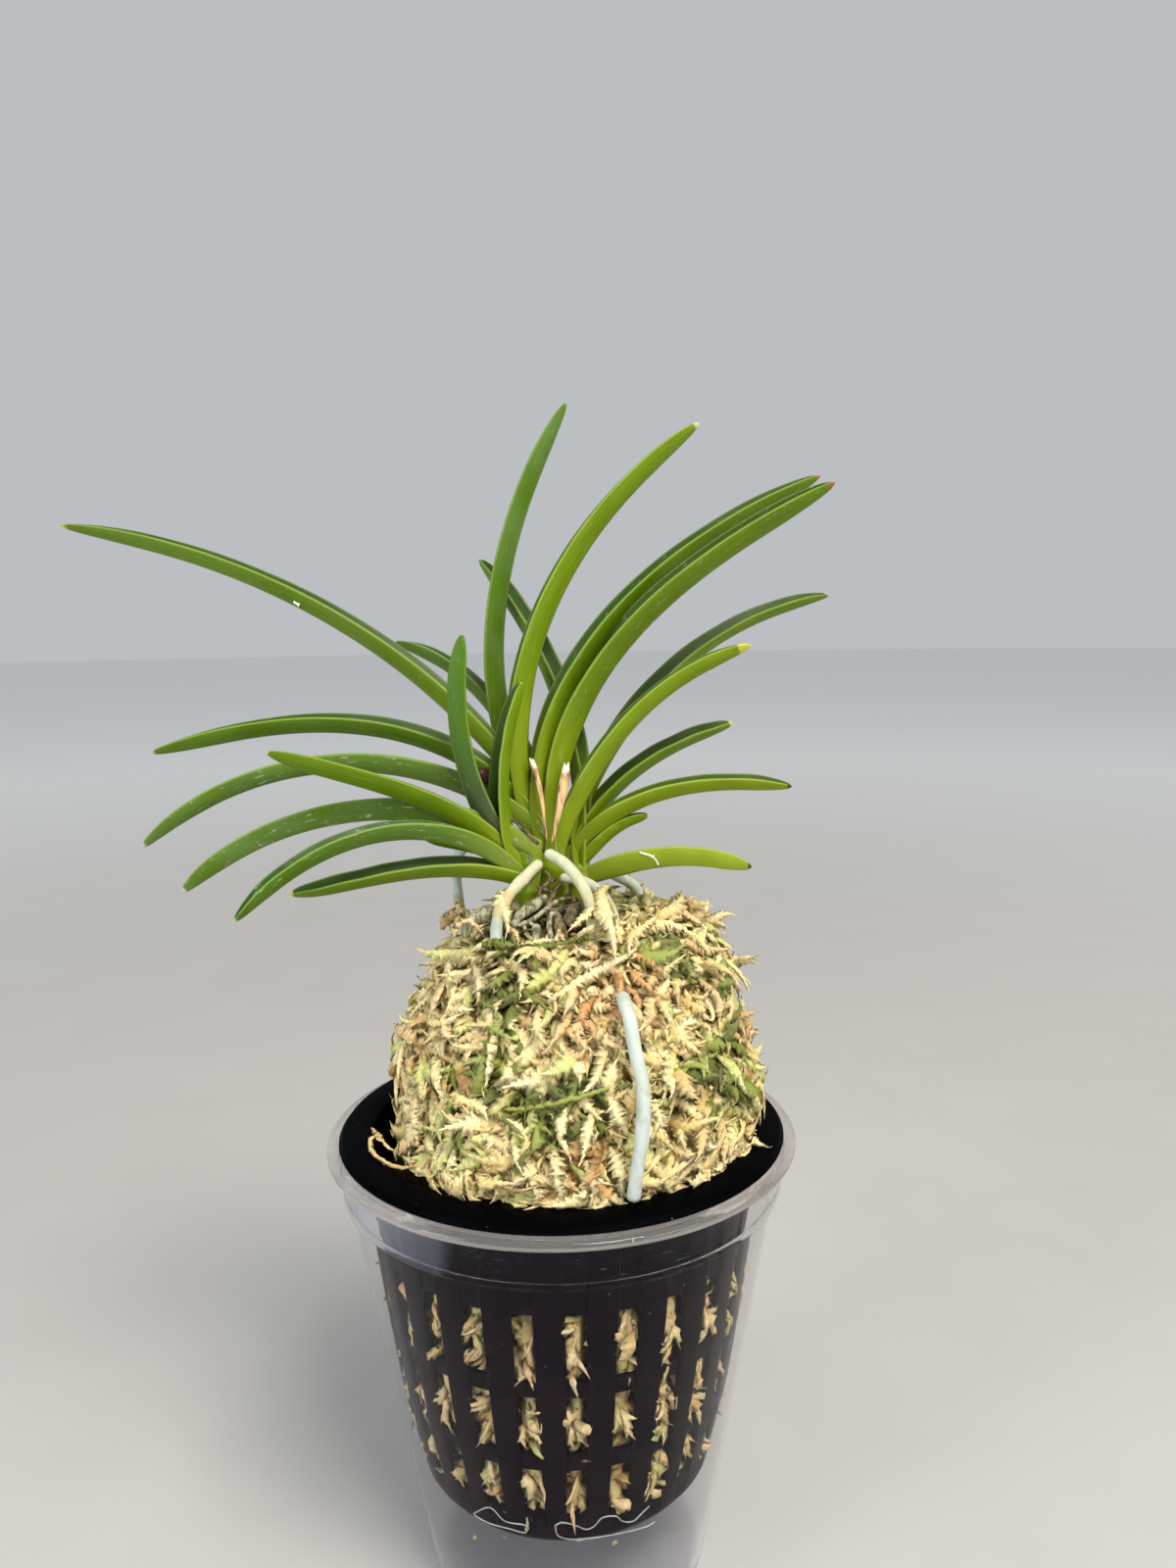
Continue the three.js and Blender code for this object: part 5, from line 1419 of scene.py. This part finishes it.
# Hue, width, and route of the scraps on the roots.
SCRAPS = [("cream", 2.9, [(8, -8.5, 117.3), (6.9, -10.2, 116.5), (7.1, -13, 115), (7.5, -16, 113.8),
                          (8.3, -18.5, 112.5), (8.6, -22, 109.2)]),
          ("cream", 2.4, [(7.4, -9.4, 117), (6.2, -11.6, 115.6), (4.8, -14, 114.2), (3.4, -15, 113.3),
                          (1.6, -16, 112.1)]),
          ("cream", 2.4, [(-5.7, -8.4, 117.3), (-7.4, -10.4, 116.4), (-8.2, -11.8, 115.4), (-7.4, -13.2, 114),
                          (-7.2, -14.4, 112.4), (-7.6, -15.4, 110.6)]),
          ("tan", 1.3, [(-6.9, -13.4, 112), (-5.9, -14.6, 111.2), (-5.4, -15.4, 109.8)]),
          ("tan", 1.1, [(0.2, -13.6, 111.7), (0.8, -14.2, 111), (1.5, -14.8, 110.2)]),
          ("tan", 2.2, [(-19.5, 3.6, 107.5), (-17.8, 3.8, 109.6), (-15.6, 3.6, 110.6), (-13.4, 3.2, 109)]),
          ("cream", 1.8, [(-16.4, 4.6, 112.6), (-16.4, 3.8, 110), (-16.8, 2.8, 107)]),
          ("tan", 1.8, [(-15.6, -9.8, 109.6), (-14.6, -10.8, 112), (-12.8, -11.4, 112.6), (-11, -12, 110.6)]),
          ("rust", 1.0, [(2.2, -9.8, 113.6), (3, -9.6, 113.9), (4, -9.4, 113.6)]),
          ("green", 1.8, [(-11, -15, 109.8), (-8.4, -15.9, 110.4), (-5.4, -16.4, 110.2)]),
          ("green", 1.1, [(-5.9, -16.6, 109.6), (-2.9, -16.9, 109.9), (0, -16.6, 110.4), (2.8, -16.4, 110.6)]),
          ("green", 1.4, [(1.2, -16.2, 110.6), (4, -16.2, 111.2), (7.5, -17, 111.5)]),
          ("pale", 0.9, [(-5.2, -16.2, 110.4), (-2.2, -16.2, 110.8), (0.4, -15.8, 110.8)])]


def litter_heap():
    """A low lumpy dome, open nowhere, from its top down."""
    points = []
    for tilt in np.linspace(1.5, -0.2, LITTER_ROWS):
        for turn in np.linspace(0, 2 * math.pi, LITTER_ROUND, endpoint=False):
            lump = 1 + 0.09 * math.sin(3 * turn + 5 * tilt) + 0.07 * math.sin(5 * turn - 7 * tilt + 1)
            way = np.array([math.cos(tilt) * math.cos(turn), math.cos(tilt) * math.sin(turn), math.sin(tilt)])
            points.append(np.array(LITTER_MIDDLE) + way * LITTER_HALF * lump)
    return points, [face[::-1] for face in closed_grid(LITTER_ROWS, LITTER_ROUND)]


heap_points, heap_faces = litter_heap()
heap = add_piece("litter_heap", heap_points, heap_faces, bed.data.materials[0], "moss")
store(heap.data, cover=np.ones(len(heap_points)))
# Painted shade: the dead moss is mixed 90 per cent towards near black, in the hollow under the crown.
dead_moss = sphagnum("dead_sphagnum", True, 0.1, 0.9)
for name, kinds, density, seed in (
    ("litter_tufts", tufts, 200000.0, 21), ("litter_strands", packing, 350000.0, 23),
):
    scattered(
        name, heap, above_flange, Strands=kinds, Finish=dead_moss, Mask="cover", Density=density, Smallest=0.5,
        Largest=0.9, Least_lift=-0.1, Most_lift=0.5, Heading=math.pi, Spread=1.6, Swirl=4.0, Seed=seed,
    )

dark_foot = papery("dark_foot", (0.03, 0.025, 0.01), (0.2, 0.16, 0.07))
pale_foot = papery("pale_foot", (0.08, 0.075, 0.035), (0.38, 0.36, 0.22))
dark_thread = papery("dark_thread", (0.025, 0.014, 0.007), (0.16, 0.1, 0.05))
for name, routes, skin in (
    ("dark_feet", DARK_FEET, dark_foot), ("pale_feet", PALE_FEET, pale_foot),
    ("rootlets", [(ROOTLET_RADIUS, route) for route in ROOTLETS], dark_thread),
):
    add_piece(name, *tubes(routes, 24, 10, 90, 0.16), skin, "dry_sheath")

laid_strands("scraps_on_roots", [
    (hue, width, 0.2, smooth_line(route, 32), (0.3, -1, 0.6)) for hue, width, route in SCRAPS
])
for kinds in (frizz, tufts, strands, fibres, packing):
    for kind in list(kinds.objects):
        bpy.data.objects.remove(kind)
    bpy.data.collections.remove(kinds)

# ---------------------------------------------------------------- water film
# A little water is caught where the pot's foot comes close to the cup. Its edge is drawn as thin lines on the
# inside of the cup, painted pale as the bright glint of the water's edge, and a few crumbs of moss stick there.

WATER_RADIUS = 0.1
# Angle and height of the points along each line.
WATER_LINES = [
    [(-122.1, 23.1), (-115, 25.5), (-109.9, 23.7), (-102.7, 23.7), (-103.2, 22.3), (-108.2, 22.4),
     (-115.9, 22.3), (-121.1, 22.6), (-122.1, 23.1)],
    [(-92.9, 24.2), (-92.1, 22.3), (-87.7, 21.5), (-79.8, 21.4), (-68.9, 21.1), (-60.9, 20.7), (-57.3, 20.8)],
    [(-92.9, 24.2), (-90.4, 24.8), (-86.1, 24.1), (-82.7, 23.2), (-79.9, 23.7), (-77.5, 25), (-73, 24.8),
     (-70.2, 23.4), (-66.4, 22.8), (-63.3, 23.8), (-60.6, 24.6)],
]
CRUMBS = [(-112.8, 18.9), (-84.6, 20.4), (-64.1, 22.1), (-39.3, 14.2), (-128, 15.8), (-97, 10), (-71, 17.4)]


def on_inner_wall(turn, z, inset):
    """A point just inside the cup's wall."""
    wall_foot, wall_top = (BASE_RADIUS + 0.8, 5), (LEDGE_RADIUS - 0.1, LEDGE_Z - 0.9)
    radius = np.interp(z, [wall_foot[1], wall_top[1]], [wall_foot[0], wall_top[0]]) - CUP_WALL - inset
    return [radius * math.cos(math.radians(turn)), radius * math.sin(math.radians(turn)), z]


water = Finish("water")
wet = water.noise(water.place(), 800, 2)
# Pale grey base: a painted glint of the water's edge. The clear coat reflects for real.
water.close(water.shader(
    Base_Color=water.mix(wet, (0.4, 0.4, 0.38), (0.75, 0.74, 0.7)), Roughness=0.05, Transmission_Weight=0.5,
    Coat_Weight=1.0, Coat_Roughness=0.03,
))
water_routes = [
    (WATER_RADIUS, [on_inner_wall(turn, z, WATER_RADIUS + 0.03) for turn, z in line]) for line in WATER_LINES
]
add_piece("water_lines", *tubes(water_routes, 70, 8, 120, 0.15), water.material, "clear_plastic")

laid_strands("crumbs", [
    (hue, 0.9, 0.3, np.linspace(
        on_inner_wall(turn - 1.2, z, 0.5), on_inner_wall(turn + 1.2, z + 0.5, 0.5), 6,
    ), (math.cos(math.radians(turn)), math.sin(math.radians(turn)), 0))
    for (turn, z), hue in zip(CRUMBS, ("tan", "cream", "tan", "rust", "cream", "tan", "cream"))
], through_slots)
